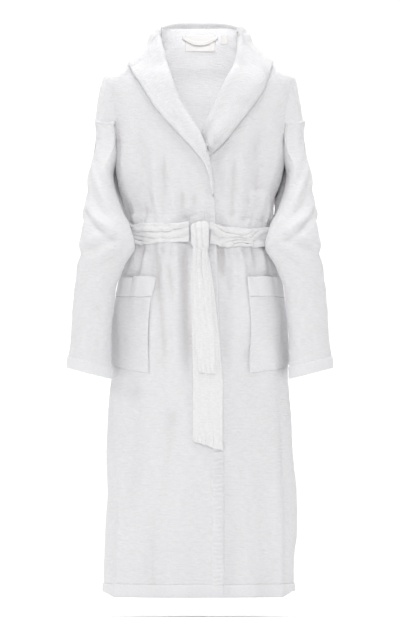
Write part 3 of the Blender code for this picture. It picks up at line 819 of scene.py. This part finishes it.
class ROBE_OT_collar(bpy.types.Operator):
    """The shawl collar, one doubled band from lapel to lapel round the neck"""

    bl_idname = "robe.collar"
    bl_label = "Shawl collar"

    def execute(self, context):
        looks = cloth_materials()
        thick = context.scene.robe_sizes.collar
        steps = np.linspace(0.0, 1.0, 110)
        end = math.radians(92)
        high = COLLAR_TOP - COLLAR_DIP
        right_edge = collar_border(RIGHT_LAPEL, RIGHT_LAPEL[0][0], RIGHT_LAPEL[-1][0], steps, -end, 0.013)
        right_roll = collar_border(RIGHT_EDGE, 0.886, high, steps, -end)
        left_roll_points = ((0.985, 0.012), (1.024, 0.006), *(row for row in LEFT_EDGE if row[0] > 1.03))
        left_edge = collar_border(LEFT_LAPEL, LEFT_LAPEL[0][0], LEFT_LAPEL[-1][0], steps, end, 0.017)
        left_roll = collar_border(left_roll_points, 0.985, high, steps, end)
        back = np.linspace(-end, -2.0 * math.pi + end, 80)[1:-1]
        middle = smoothstep(np.abs(back + math.pi), 0.0, math.pi - end)
        back_roll = (back, COLLAR_TOP - COLLAR_DIP * middle**2)
        back_edge = (back, 1.172 + 0.011 * middle)
        turned = -2.0 * math.pi
        roll_angle = np.concatenate([right_roll[0], back_roll[0], turned + left_roll[0][::-1]])
        roll_height = np.concatenate([right_roll[1], back_roll[1], left_roll[1][::-1]])
        rim_angle = np.concatenate([right_edge[0], back_edge[0], turned + left_edge[0][::-1]])
        rim_height = np.concatenate([right_edge[1], back_edge[1], left_edge[1][::-1]])
        rim_angle = round_corners(rim_angle)
        rim_height = round_corners(rim_height)
        share = border_shares(26, 0.05)[None, :]
        angle = roll_angle[:, None] + (rim_angle - roll_angle)[:, None] * share
        height = roll_height[:, None] + (rim_height - roll_height)[:, None] * share
        grid, normal = body_grid(angle, height)
        width = run_lengths(grid, 1)
        side = from_sides(grid)
        along = run_lengths(grid, 0)[:, :1]
        tip = np.minimum(along, along[-1, 0] - along)
        stitch = bell(width[:, -1:] - width - 0.011, STITCH_WIDTH)
        plump = 0.0022 * np.sin(math.pi * np.clip(share, 0.0, 1.0)) ** 0.8
        lift = 0.0022 + thick / 2 + plump + 0.0040 * smoothstep(share, 0.55, 1.0)
        behind = smoothstep(-np.cos(roll_angle), -0.1, 0.5)[:, None]
        curl = (0.0045 + 0.0070 * behind) * (1.0 - smoothstep(width, 0.0, 0.012 + 0.011 * behind))
        shoulder = bell(np.abs(np.angle(np.exp(1j * angle))) - math.pi / 2, 0.50)
        close = shoulder * smoothstep(share, 0.3, 0.9)
        roll = 0.0085 * shoulder * bell(height - 1.228, 0.017)
        radial = 0.0016 * ripple(along / 0.030 + 1.6 * share, share * 1.4, 31)
        radial = radial * smoothstep(share, 0.15, 0.8)
        wander = 0.0016 * ripple(along / 0.075, share * 1.5, 33)
        under = (np.arange(len(roll_angle)) > len(roll_angle) // 2)[:, None]
        past = grid[..., 0] - curve(RIGHT_EDGE, height)
        tucked = under * (1.0 - smoothstep(past, 0.002, 0.040))
        lift = (lift + roll - 0.0045 * close + radial + wander - curl) * (1.0 - tucked) - 0.0066 * tucked
        grid = grid + normal * lift[..., None]
        full = thick * rim_factor(side, 0.0055) * rim_factor(tip + 0.002, 0.022)
        full = full * (1.0 - 0.55 * tucked) * (1.0 - 0.35 * close)
        full = full - 0.0016 * stitch
        sense = grid_sense(grid, normal)
        made = cloth("shawl_collar", grid, sense, full, looks["cotton terry"], seed=41)
        settle(made, "root", "terry", "collar_back", "right_lapel", "left_lapel")
        return {"FINISHED"}


def grid_sense(points, reference):
    """Fresh normals of a grid, on the same side as the given ones."""
    fresh = grid_normals(points)
    return fresh * np.sign(np.mean(np.sum(fresh * reference, axis=-1)))


def sleeve_grid(side, heights, turn, lift):
    """The sleeve's outside as rings, each a mix of two outlines, raised by lift.

    Under the shoulder a ring lies on the dropped shoulder outside and on the body's side inside. Lower
    down it is an ellipse whose centre and half-sizes follow the height, tilted towards the cuff. Its back
    swells towards the body below the armpit, so that no light shows there.
    """
    h = heights[:, None]
    t = turn[None, :]
    swell = sleeve_relief(h, t)
    wide = curve(SLEEVE, h, 3) + swell
    deep = curve(SLEEVE, h, 4) + swell
    out = wide * np.cos(t)
    tilt = CUFF_SLOPE * smoothstep(-h, -0.90, -0.60)
    armpit = bell(h - 0.893, 0.060) * smoothstep(np.sin(t), 0.05, 0.70) * smoothstep(-np.cos(t), -0.10, 0.5)
    x = curve(SLEEVE, h, 1) + out - ARMPIT_SWELL * armpit
    y = -curve(SLEEVE, h, 2) + deep * np.sin(t)
    oval = np.stack([x, y, h + tilt * out], axis=-1)
    outside = smoothstep(np.cos(t), -0.35, 0.35)
    around = np.arcsin(np.sin(t)) / (math.pi / 2)
    angle = math.pi / 2 + around * CAP_SPAN + 0.0 * h
    level = h - (ARM_SEAM - seam_height(angle)) * (1.0 - smoothstep(ARM_SEAM - h, 0.0, 0.10))
    grown = base_point(angle, level, bulge=False)
    grown[..., 0] += (SHOULDER_DROP * arm_side(angle) * outside + lift + swell) * np.sin(angle)
    loose = smoothstep(ARM_SEAM - h, 0.004, 0.135)[..., None]
    mixed = grown + (oval - grown) * loose
    x, y, z = (mixed[..., k] for k in range(3))
    a = curve(BODY, z, 1) + CAP_TUCK
    b = curve(BODY, z, 2) + CAP_TUCK
    inside = ((np.abs(x) / a) ** SQUARENESS + (np.abs(y) / b) ** SQUARENESS) ** (1.0 / SQUARENESS)
    push = np.where(z > 0.86, np.maximum(1.0, 1.0 / np.maximum(inside, 1e-6)), 1.0)
    return np.stack([side * x * push, y * push, z], axis=-1)


# Sleeve folds: height and turn of the middle, slant, length, width and depth. Turn 0 is outwards, and
# -90 degrees the front.
SLEEVE_FOLDS = (
    (0.930, -1.35, 0.9, 0.060, 0.012, -0.0035),
    (0.885, -1.15, 1.1, 0.070, 0.011, -0.0045),
    (0.850, -1.45, 1.0, 0.055, 0.010, -0.0040),
    (0.822, -0.95, 0.8, 0.050, 0.009, -0.0045),
    (0.795, -1.55, 0.6, 0.050, 0.010, -0.0040),
    (0.768, -1.05, -0.5, 0.050, 0.010, -0.0040),
    (0.738, -1.60, -0.8, 0.055, 0.010, -0.0045),
    (0.700, -1.25, -1.0, 0.060, 0.011, -0.0035),
    (0.655, -1.55, 0.9, 0.060, 0.012, -0.0030),
    (0.600, -1.15, -1.1, 0.060, 0.013, -0.0025),
    (0.560, -1.60, 1.0, 0.050, 0.012, -0.0020),
    (0.960, 1.30, -0.9, 0.070, 0.014, -0.0040),
    (0.880, 1.60, 0.9, 0.070, 0.013, -0.0045),
    (0.810, 1.20, -0.9, 0.060, 0.012, -0.0045),
    (0.760, 1.70, 0.7, 0.060, 0.012, -0.0050),
    (0.690, 1.30, -0.8, 0.060, 0.013, -0.0040),
    (0.900, 0.20, 0.5, 0.060, 0.014, -0.0030),
    (0.820, 0.10, -0.6, 0.050, 0.012, -0.0035),
    (0.750, 0.00, 0.6, 0.050, 0.012, -0.0035),
)


def sleeve_relief(height, turn):
    """Slanting folds round the elbow and smaller unevenness, as a distance outwards."""
    total = 0.0018 * ripple(turn * 1.4 + 20.0, height * 14.0, 51) + 0.0 * height
    total = total + 0.0009 * ripple(turn * 3.2 + 9.0, height * 34.0, 52)
    for middle, centre, slant, length, width, depth in SLEEVE_FOLDS:
        across = np.angle(np.exp(1j * (turn - centre))) * 0.055
        rise = height - middle
        tilt = math.atan(slant)
        p = across * math.cos(tilt) + rise * math.sin(tilt)
        q = (rise * math.cos(tilt) - across * math.sin(tilt)) / width
        total = total + depth * bell(p, length) * (bell(q, 1.0) - 0.7 * bell(q - 1.7, 1.0))
    calm = smoothstep(ARM_SEAM - height, 0.0, 0.06) * smoothstep(height, CUFF_HEIGHT, CUFF_HEIGHT + 0.05)
    return total * calm


class ROBE_OT_sleeves(bpy.types.Operator):
    """Both sleeves with their cuff hems"""

    bl_idname = "robe.sleeves"
    bl_label = "Sleeves"

    def execute(self, context):
        looks = cloth_materials()
        thick = context.scene.robe_sizes.terry
        turn = np.linspace(0.0, 2.0 * math.pi, 96, endpoint=False)
        for side, word in ((-1, "right"), (1, "left")):
            body = f"{word}_sleeve"
            low = CUFF_HEIGHT + CUFF_HEM - LAP
            heights = np.linspace(ARM_SEAM, low, 125)
            seam = np.array([0.0006, 0.0016, 0.0030, 0.0050, 0.0062, 0.0070, 0.0078, 0.0090])
            ends = [ARM_SEAM - seam, low + np.array([0.0030, 0.0016, 0.0006])]
            heights = np.unique(np.concatenate([heights, *ends]))[::-1]
            top = rim_factor(ARM_SEAM - heights, 0.005) * rim_factor(heights - low, 0.003)
            top = top[:, None] + 0.0 * turn[None, :]
            grid = sleeve_grid(side, heights, turn, CAP_TUCK + thick * top)
            normal = ring_normals(grid)
            stitch = bell(ARM_SEAM - heights - 0.0070, 0.0012)[:, None]
            full = thick * top - 0.0016 * stitch
            grid = grid - normal * (full[..., None] / 2 + 0.0012 * stitch[..., None])
            terry = looks["cotton terry"]
            made = cloth(f"terry_{body}", grid, normal, full, terry, wrap=True, seed=61 + side)
            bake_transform(made)
            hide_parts(body)
            rows = CUFF_HEIGHT + CUFF_HEM * (1.0 - border_shares(8, 0.08))
            ring = sleeve_grid(side, rows, turn, 0.0)
            out = ring_normals(ring)
            wave = 0.0005 * ripple(turn[None, :] * 5.0, rows[:, None] * 60.0, 71 + side)
            ring = ring + out * (0.0012 + wave - thick / 2)[..., None]
            low_edge = (rows - CUFF_HEIGHT)[:, None]
            high_edge = (CUFF_HEIGHT + CUFF_HEM - rows)[:, None]
            full = (thick + 0.0020) * rim_factor(low_edge, 0.004) * rim_factor(high_edge, 0.003)
            full = full + 0.0 * turn[None, :]
            band = f"terry_{body}_hem"
            band = cloth(band, ring, out, full, looks["stitched terry"], wrap=True, seed=81, soft=0.7)
            settle(band, body, "terry_band", f"{body}_hem")
        return {"FINISHED"}


def ring_normals(points):
    """Normals of a stack of rings, pointing away from their centres."""
    normal = grid_normals(points, wrap=True)
    outward = points - points.mean(axis=1, keepdims=True)
    return normal * np.sign(np.mean(np.sum(normal * outward, axis=-1)))


class ROBE_OT_pockets(bpy.types.Operator):
    """Patch pockets with their smooth top bands"""

    bl_idname = "robe.pockets"
    bl_label = "Pockets"

    def execute(self, context):
        band_low = POCKET_TOP - POCKET_BAND
        for side, word in ((-1, "right"), (1, "left")):
            made = pocket(f"{word}_pocket", side, None, band_low, 44, "cotton terry")
            settle(made, "root", "terry", f"{word}_pocket")
            made = pocket(f"{word}_pocket_band", side, band_low, POCKET_TOP, 14, "stitched terry")
            settle(made, "root", "terry_band", f"{word}_pocket_band")
        return {"FINISHED"}


def pocket(node, side, low, high, rows, look):
    """A patch on the skirt from low to high, or from the pocket's own sloping bottom if low is None.

    It stands away from the skirt by a sine across its width times a sine up its height, and dips at its
    stitches.
    """
    inner = float(angle_at(POCKET_INNER, 0.60))
    share = border_shares(40, 0.03)[None, :]
    up = border_shares(rows, 0.03 if low is None else 0.10)[:, None]
    bottom = POCKET_BOTTOM + POCKET_RISE * share
    first = bottom if low is None else low
    top = high + LAP if low is None else high
    height = first + (top - first) * up + 0.0 * share
    angle = side * (inner + (POCKET_OUTER_ANGLE - inner) * share) + 0.0 * up
    grid, normal = body_grid(angle, height)
    climb = np.clip((height - bottom) / (POCKET_TOP - bottom), 0.0, 1.0)
    room = 0.0062 * np.sin(math.pi * np.clip(share, 0, 1)) ** 0.6 * np.sin(math.pi / 2 * climb) ** 0.7
    rim = from_sides(grid)
    stitch = bell(rim - STITCH_INSET, STITCH_WIDTH)
    if low is None:
        stitch = np.maximum(stitch, bell(run_lengths(grid, 0) - STITCH_INSET, STITCH_WIDTH))
    sink = left_sink(grid[..., 0], height) if side > 0 else 0.0
    lumps = 0.0008 * ripple(run_lengths(grid, 1) / 0.03, height / 0.03, 91 + side)
    proud = 0.0 if low is None else 0.0016
    stand = 0.0012 + room + proud + lumps + POCKET_CLOTH / 2 - sink - 0.0006 * stitch
    full = POCKET_CLOTH * rim_factor(np.minimum(rim, from_ends(grid)), 0.003) - 0.0008 * stitch
    grid = grid + normal * stand[..., None]
    sense = grid_sense(grid, normal)
    return cloth("terry_" + node, grid, sense, full, cloth_materials()[look], seed=95 + side, soft=0.8)


def belt_grid(angle, across):
    """The belt round the waist: a crumpled strip whose edges wander, across from 0 below to 1 above.

    Lengthwise creases are cosines across the strip whose phase drifts round the body.
    """
    drift = 0.004 * ripple(angle * 2.2, 0.5 + 0.0 * angle, 101)
    low = BELT_LOW - 0.001 + drift + 0.003 * ripple(angle * 4.0, 7.0 + 0.0 * angle, 102)
    high = BELT_HIGH + 0.001 + drift + 0.003 * ripple(angle * 3.1, 3.0 + 0.0 * angle, 103)
    signed = np.angle(np.exp(1j * angle))
    droop = smoothstep(signed, 0.05, 0.30) * (1.0 - smoothstep(signed, 0.9, 1.5))
    height = low + (high - low) * across - 0.009 * droop
    grid, normal = body_grid(angle, height)
    phase = 3.0 * across + 1.6 * ripple(angle * 1.9, across * 1.3, 104)
    crease = 0.0026 * np.cos(2.0 * math.pi * phase) * np.sin(math.pi * across) ** 0.6
    slant = 0.0015 * ripple(angle * 7.0 + 4.0 * across, across * 2.0 + angle * 2.0, 105)
    return grid + normal * (0.0055 + crease + slant)[..., None], normal


class ROBE_OT_belt(bpy.types.Operator):
    """Belt band, knot, two hanging ends and the loops at the side seams"""

    bl_idname = "robe.belt"
    bl_label = "Belt"

    def execute(self, context):
        looks = cloth_materials()
        terry = looks["belt terry with painted light"]
        reach = 0.10
        angle = np.linspace(reach, 2.0 * math.pi - reach, 420)[None, :]
        across = border_shares(18, 0.08)[:, None]
        grid, normal = belt_grid(angle, across)
        full = BELT_CLOTH * rim_factor(from_ends(grid), 0.0045)
        band = cloth("belt_band", grid, grid_sense(grid, normal), full, terry, seed=111)
        settle(band, "root", "belt_terry", "belt_waistband")
        knot = belt_knot(terry)
        settle(knot, "root", "belt_terry", "belt_knot")
        ends = (
            ("belt_tail_under", UNDER_TAIL, 0.0050, 0.004, 0.010, 121, (0.066, 0.45)),
            ("belt_tail_over", OVER_TAIL, 0.0110, 0.016, 0.001, 131, (0.050, 0.29)),
        )
        for node, outline, forward, out, slant, seed, flat in ends:
            made = belt_end("terry_" + node, outline, forward, out, slant, seed, terry)
            settle(made, node, "belt_terry", node)
        for side, word in ((-1, "right"), (1, "left")):
            made = belt_loop(f"terry_{word}_belt_loop", side, looks["stitched terry"])
            settle(made, "root", "belt_terry", f"{word}_belt_loop")
        return {"FINISHED"}


# Belt ends: height, middle and half-width
UNDER_TAIL = (
    (TAIL_TOP + 0.012, 0.000, 0.014),
    (0.70, 0.004, 0.024),
    (0.56, 0.012, 0.030),
    (0.45, 0.0176, 0.033),
    (0.333, 0.0176, 0.033),
)
OVER_TAIL = (
    (TAIL_TOP + 0.018, 0.000, 0.016),
    (0.735, 0.000, 0.0175),
    (0.68, 0.003, 0.020),
    (0.59, 0.009, 0.022),
    (0.493, 0.0155, 0.0185),
)


def front_normals(points):
    """Normals of a grid that face the front of the robe."""
    normal = grid_normals(points)
    return normal * -np.sign(np.mean(normal[..., 1]))


def tail_plane(height, forward):
    """Distance in front of the middle of a belt end, on a plane that leans out with the skirt."""
    start = float(curve(BODY, TAIL_TOP, 2)) + forward
    return -(start + (TAIL_TOP - height) * math.tan(TAIL_LEAN))


def belt_end(name, outline, forward, out, slant, seed, material):
    """A hanging belt end: a strip with lengthwise folds that open towards its stitched, puckered end."""
    top = outline[0][0]
    low = outline[-1][0]
    down = border_shares(110 if low < 0.4 else 70, 0.012)[:, None]
    share = border_shares(44, 0.05)[None, :]
    height = top + (low - top) * down + 0.0 * share
    middle = curve(outline, height, 1)
    half = curve(outline, height, 2)
    wander = 0.0016 * ripple(height * 16.0, 0.5 + 0.0 * share, seed)
    s = 2.0 * share - 1.0
    height = height - slant * s * down**6
    x = middle + wander + half * s
    gathered = 1.0 - smoothstep(top - height, 0.02, 0.20)
    phase = 3.2 * math.pi * s + 2.0 * ripple(height * 9.0, 0.0 * s, seed + 1)
    folds = 0.0022 * (0.35 + 0.65 * gathered) * np.cos(phase)
    lumps = 0.0011 * ripple(s * 1.6 + 4.0, height * 24.0, seed + 2)
    leave = out * bell(np.clip(TAIL_TOP + 0.012 - height, 0.0, 1.0), 0.032)
    y = tail_plane(height, forward + 0.0022) - folds * np.cos(0.5 * math.pi * s) - lumps - leave
    beat = 2.0 * math.pi * (x + 0.0015 * ripple(s * 2.0, 3.0 + 0.0 * s, seed)) / 0.0090
    y = y - 0.0013 * bell(height - low - 0.012, 0.011) * np.cos(beat)
    height = height + 0.0014 * down**8 * ripple(s * 3.5, 1.0 + 0.0 * s, seed + 3)
    grid = np.stack([x, y, height], axis=-1)
    along = run_lengths(grid, 0)
    foot = along[-1:] - along
    side = from_sides(grid)
    stitch = np.clip(bell(foot - 0.020, 0.0014) + 0.6 * bell(side - STITCH_INSET, 0.0012), 0.0, 1.0)
    full = TAIL_CLOTH * rim_factor(side, 0.0035) * rim_factor(foot, 0.004) - 0.0008 * stitch
    return cloth(name, grid, front_normals(grid), full, material, seed=seed, soft=0.8)


def belt_knot(material):
    """The knot: the strip's last turn over the belt, a rounded block with creases along the strip.

    One angle turns about the X axis in the wrap's rounded section and the other runs from side to side.
    """
    low, high = (np.array(v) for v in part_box("belt_knot"))
    centre = (low + high) / 2
    half = (high - low) / 2
    around = np.linspace(0.0, 2.0 * math.pi, 96, endpoint=False)[None, :]
    tilt = np.linspace(-math.pi / 2, math.pi / 2, 60)[1:-1, None]
    x = signed_power(np.sin(tilt), 0.70) + 0.0 * around
    ring = np.abs(np.cos(tilt)) ** 0.42
    lean = 0.10 * np.cos(around) * x
    y = ring * signed_power(np.sin(around), 0.72)
    z = ring * (signed_power(np.cos(around), 0.62) + lean)
    bend = x + 0.10 * z
    crease = bell(bend + 0.42, 0.13) + 0.8 * bell(bend - 0.22, 0.10)
    dent = 1.0 - 0.10 * crease + 0.035 * ripple(x * 3.0, around * 2.0, 141) * np.cos(tilt)
    pinch = 1.0 - 0.12 * bell(z + 0.15, 0.55)
    points = np.stack([x * pinch, y * dent, z * (0.5 + 0.5 * dent)], axis=-1) * (half * 1.04) + centre
    rows, columns = points.shape[:2]
    index = np.arange(rows * columns).reshape(rows, columns)
    right = np.roll(index, -1, axis=1)
    quads = np.stack([index[:-1], right[:-1], right[1:], index[1:]], axis=-1).reshape(-1, 4)
    poles = np.array([points[0].mean(axis=0), points[-1].mean(axis=0)])
    vertices = np.concatenate([points.reshape(-1, 3), poles])
    south = rows * columns
    even = np.arange(0, columns, 2)
    nxt = (even + 1) % columns
    after = (even + 2) % columns
    first = index[0]
    last = index[-1]
    low_fan = np.stack([first[even], np.full_like(even, south), first[after], first[nxt]], axis=-1)
    top_fan = np.stack([last[nxt], last[after], np.full_like(even, south + 1), last[even]], axis=-1)
    faces = np.concatenate([quads, low_fan, top_fan])
    if signed_volume(vertices, faces) < 0:
        faces = faces[:, ::-1]
    uv = np.stack([x * 0.02, around * 0.02 + 0.0 * x], axis=-1).reshape(-1, 2)
    uv = np.concatenate([uv, np.zeros((2, 2))])
    # Painted shade in the knot's creases, carried by the crease attribute.
    deep = (0.4 * crease * np.cos(tilt) ** 0.5 + 0.0 * around).ravel()
    return add_mesh("belt_knot_wrap", vertices, faces, uv, material, np.concatenate([deep, [0.0, 0.0]]))


def belt_loop(name, side, material):
    """A narrow folded strip that bridges the belt, as a height profile of its stand-off."""
    rows = np.linspace(0.757, 0.843, 40)[:, None]
    share = border_shares(6, 0.2)[None, :]
    angle = side * math.pi / 2 + 0.034 * (2.0 * share - 1.0)
    bridge = smoothstep(rows, 0.763, 0.775) * (1.0 - smoothstep(rows, 0.8255, 0.8375))
    height = rows + 0.0 * share
    grid, normal = body_grid(angle + 0.0 * rows, height)
    grid = grid + normal * (0.0016 + 0.0105 * bridge + 0.0 * share)[..., None]
    full = LOOP_CLOTH * rim_factor(from_sides(grid), 0.002)
    return cloth(name, grid, grid_sense(grid, normal), full, material, seed=151, soft=0.4)


class ROBE_OT_trim(bpy.types.Operator):
    """Hanger loop, neck label and size tag inside the back neck"""

    bl_idname = "robe.trim"
    bl_label = "Neck trim"

    def execute(self, context):
        tape = cloth_materials()["woven tape"]
        low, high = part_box("hanger_loop")
        made = hanger_loop(np.array(low), np.array(high), tape)
        settle(made, "hanger_loop", "tape", "hanger_loop")
        for node, body in (("neck_label", "root"), ("size_tag", "size_tag")):
            made = woven_label("woven_" + node, node, tape)
            settle(made, body, "tape", node)
        return {"FINISHED"}


def hanger_loop(low, high, material):
    """A tape hanging in a parabola between its sewn ends."""
    along = np.linspace(-1.0, 1.0, 60)[:, None]
    share = border_shares(4, 0.15)[None, :]
    sag = (high[2] - low[2] - TAPE_WIDTH) * (1.0 - along**2)
    half = (high[0] - low[0]) / 2
    x = half * along + 0.0 * share
    z = high[2] - sag - TAPE_WIDTH * (1.0 - share)
    y = (low[1] + high[1]) / 2 + 0.0006 * np.sin(5.0 * along) * (1.0 - along**2) + 0.0 * share
    grid = np.stack([x, y, z], axis=-1)
    full = TAPE_CLOTH * rim_factor(from_sides(grid), 0.001)
    return cloth("hanger_tape", grid, front_normals(grid), full, material, seed=161, soft=0.1)


def woven_label(name, node, material):
    """A flat label on the inside of the back neck, bowed a little to follow it."""
    low, high = (np.array(v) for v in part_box(node))
    rows = np.linspace(0.0, 1.0, 24)[:, None]
    share = np.linspace(0.0, 1.0, 30)[None, :]
    x = low[0] + (high[0] - low[0]) * share + 0.0 * rows
    z = high[2] + (low[2] - high[2]) * rows + 0.0 * share
    bow = 1.0 - (2.0 * share - 1.0) ** 2
    y = low[1] + (high[1] - low[1]) * (0.25 + 0.5 * bow) + 0.0003 * ripple(share * 3.0, rows * 2.0, 171)
    grid = np.stack([x, y, z], axis=-1)
    return cloth(name, grid, front_normals(grid), LABEL_CLOTH, material, seed=172, soft=0.05)


def studio_material(name, code):
    """Matt painted board: a pale, even surface that can be seen through from behind."""
    colour = (*linear(code), 1.0)
    material, nodes, shader = new_material(name, Base_Color=colour, Roughness=0.9, Specular_IOR_Level=0.1)
    side = add_node(nodes, "ShaderNodeNewGeometry")
    clear = add_node(nodes, "ShaderNodeBsdfTransparent")
    mix = [(0, side.outputs["Backfacing"]), (1, shader.outputs["BSDF"]), (2, clear.outputs["BSDF"])]
    mixed = add_node(nodes, "ShaderNodeMixShader", links=mix)
    material.node_tree.links.new(mixed.outputs["Shader"], nodes["Material Output"].inputs["Surface"])
    return material


class ROBE_OT_studio(bpy.types.Operator):
    """Pale floor and backdrop, soft lights and the camera"""

    bl_idname = "robe.studio"
    bl_label = "Studio"

    def execute(self, context):
        backdrop()
        lights()
        camera()
        return {"FINISHED"}


def backdrop():
    """A floor that curves up into a wall: a straight run, a quarter circle and a straight rise."""
    bend = np.linspace(0.0, math.pi / 2, 14)
    radius = 1.2
    far = 2.6
    y = np.concatenate([[-14.0], far + radius * np.sin(bend), [far + radius]])
    z = np.concatenate([[0.0], radius * (1.0 - np.cos(bend)), [9.0]]) - 0.05
    x = np.array([-12.0, 12.0])
    grid = np.stack(np.broadcast_arrays(x[None, :], y[:, None], z[:, None]), axis=-1)
    rows = len(y)
    index = np.arange(rows * 2).reshape(rows, 2)
    faces = np.stack([index[:-1, 0], index[:-1, 1], index[1:, 1], index[1:, 0]], axis=-1)
    board = studio_material("matt board", "FFFFFF")
    points = grid.reshape(-1, 3)
    made = add_mesh("studio_floor", points, faces, points[:, :2], board)


def lights():
    """Soft panels in front, above and at both sides, one for the backdrop and two for the neck's inside."""
    panels = (
        ("key", (-4.6, -1.8, 2.8), (0.0, 0.0, 0.7), (1.2, 1.4), 38.0),
        ("fill", (4.6, -2.6, 2.2), (0.0, 0.0, 0.7), (1.6, 2.2), 27.0),
        ("front", (-0.2, -6.0, 2.8), (0.0, 0.0, 0.7), (1.6, 1.2), 81.0),
        ("top", (0.0, -1.2, 4.0), (0.0, 0.0, 0.9), (1.4, 0.8), 16.0),
        ("backdrop", (0.0, 1.2, 4.2), (0.0, 3.8, 0.6), (4.0, 4.0), 115.0),
        ("neck", (0.0, -3.0, 1.9), (0.0, 0.08, 1.13), (0.6, 0.6), 28.0),
        ("inside", (0.0, -0.06, 1.05), (0.0, 0.08, 1.20), (0.10, 0.03), 0.07),
    )
    for name, place, target, size, power in panels:
        data = bpy.data.lights.new(name, "AREA")
        data.shape = "RECTANGLE"
        data.size = size[0]
        data.size_y = size[1]
        data.energy = power
        made = bpy.data.objects.new(name, data)
        bpy.context.scene.collection.objects.link(made)
        made.location = place
        made.visible_camera = False
        aim(made, target)
    lit = bpy.data.collections.new("inside of the neck")
    for name in ("terry_back_panel", "woven_neck_label", "woven_size_tag", "hanger_tape"):
        lit.objects.link(bpy.data.objects[name])
    bpy.data.objects["neck"].light_linking.receiver_collection = lit
    world = bpy.data.worlds.new("surround")
    bpy.context.scene.world = world
    world.use_nodes = True
    shade = world.node_tree.nodes["Background"]
    shade.inputs["Color"].default_value = (1.0, 1.0, 1.0, 1.0)
    shade.inputs["Strength"].default_value = 0.38


def aim(made, target):
    """Turns a light or camera so that its -Z axis points at the target."""
    direction = Vector(target) - made.location
    made.rotation_euler = direction.to_track_quat("-Z", "Y").to_euler()


def camera():
    """A long lens straight in front, level with the middle of the robe."""
    data = bpy.data.cameras.new("camera")
    made = bpy.data.objects.new("camera", data)
    bpy.context.scene.collection.objects.link(made)
    distance = 24.0
    tall = 1.3574
    data.sensor_fit = "VERTICAL"
    data.sensor_height = 24.0
    data.lens = 24.0 * distance / tall
    data.clip_end = 80.0
    made.location = (0.0, -distance - 0.10, 0.6347)
    made.rotation_euler = (math.pi / 2, 0.0, 0.0)
    bpy.context.scene.camera = made


class ROBE_PT_panel(bpy.types.Panel):
    """Robe tools in the 3D view's sidebar"""

    bl_idname = "ROBE_PT_panel"
    bl_label = "Terry Bathrobe"
    bl_space_type = "VIEW_3D"
    bl_region_type = "UI"
    bl_category = "Robe"

    def draw(self, context):
        for group in (context.scene.robe_sizes, context.scene.robe_colours):
            for key in group.__annotations__:
                self.layout.prop(group, key)
        for maker in MAKERS:
            self.layout.operator(maker.bl_idname)


MAKERS = (
    ROBE_OT_panels,
    ROBE_OT_collar,
    ROBE_OT_sleeves,
    ROBE_OT_pockets,
    ROBE_OT_belt,
    ROBE_OT_trim,
    ROBE_OT_studio,
)
CLASSES = (RobeSizes, RobeColours, *MAKERS, ROBE_PT_panel)


def register():
    for made in CLASSES:
        bpy.utils.register_class(made)
    bpy.types.Scene.robe_sizes = PointerProperty(type=RobeSizes)
    bpy.types.Scene.robe_colours = PointerProperty(type=RobeColours)


def unregister():
    del bpy.types.Scene.robe_colours
    del bpy.types.Scene.robe_sizes
    for made in reversed(CLASSES):
        bpy.utils.unregister_class(made)


def main():
    register()
    bpy.context.scene.view_settings.view_transform = "Standard"
    bpy.ops.robe.panels()
    bpy.ops.robe.collar()
    bpy.ops.robe.sleeves()
    bpy.ops.robe.pockets()
    bpy.ops.robe.belt()
    bpy.ops.robe.trim()
    bpy.ops.robe.studio()


def plain(box):
    """A box as plain lists of numbers."""
    return [[float(v) for v in corner] for corner in box]


if __name__ == "__main__":
    main()
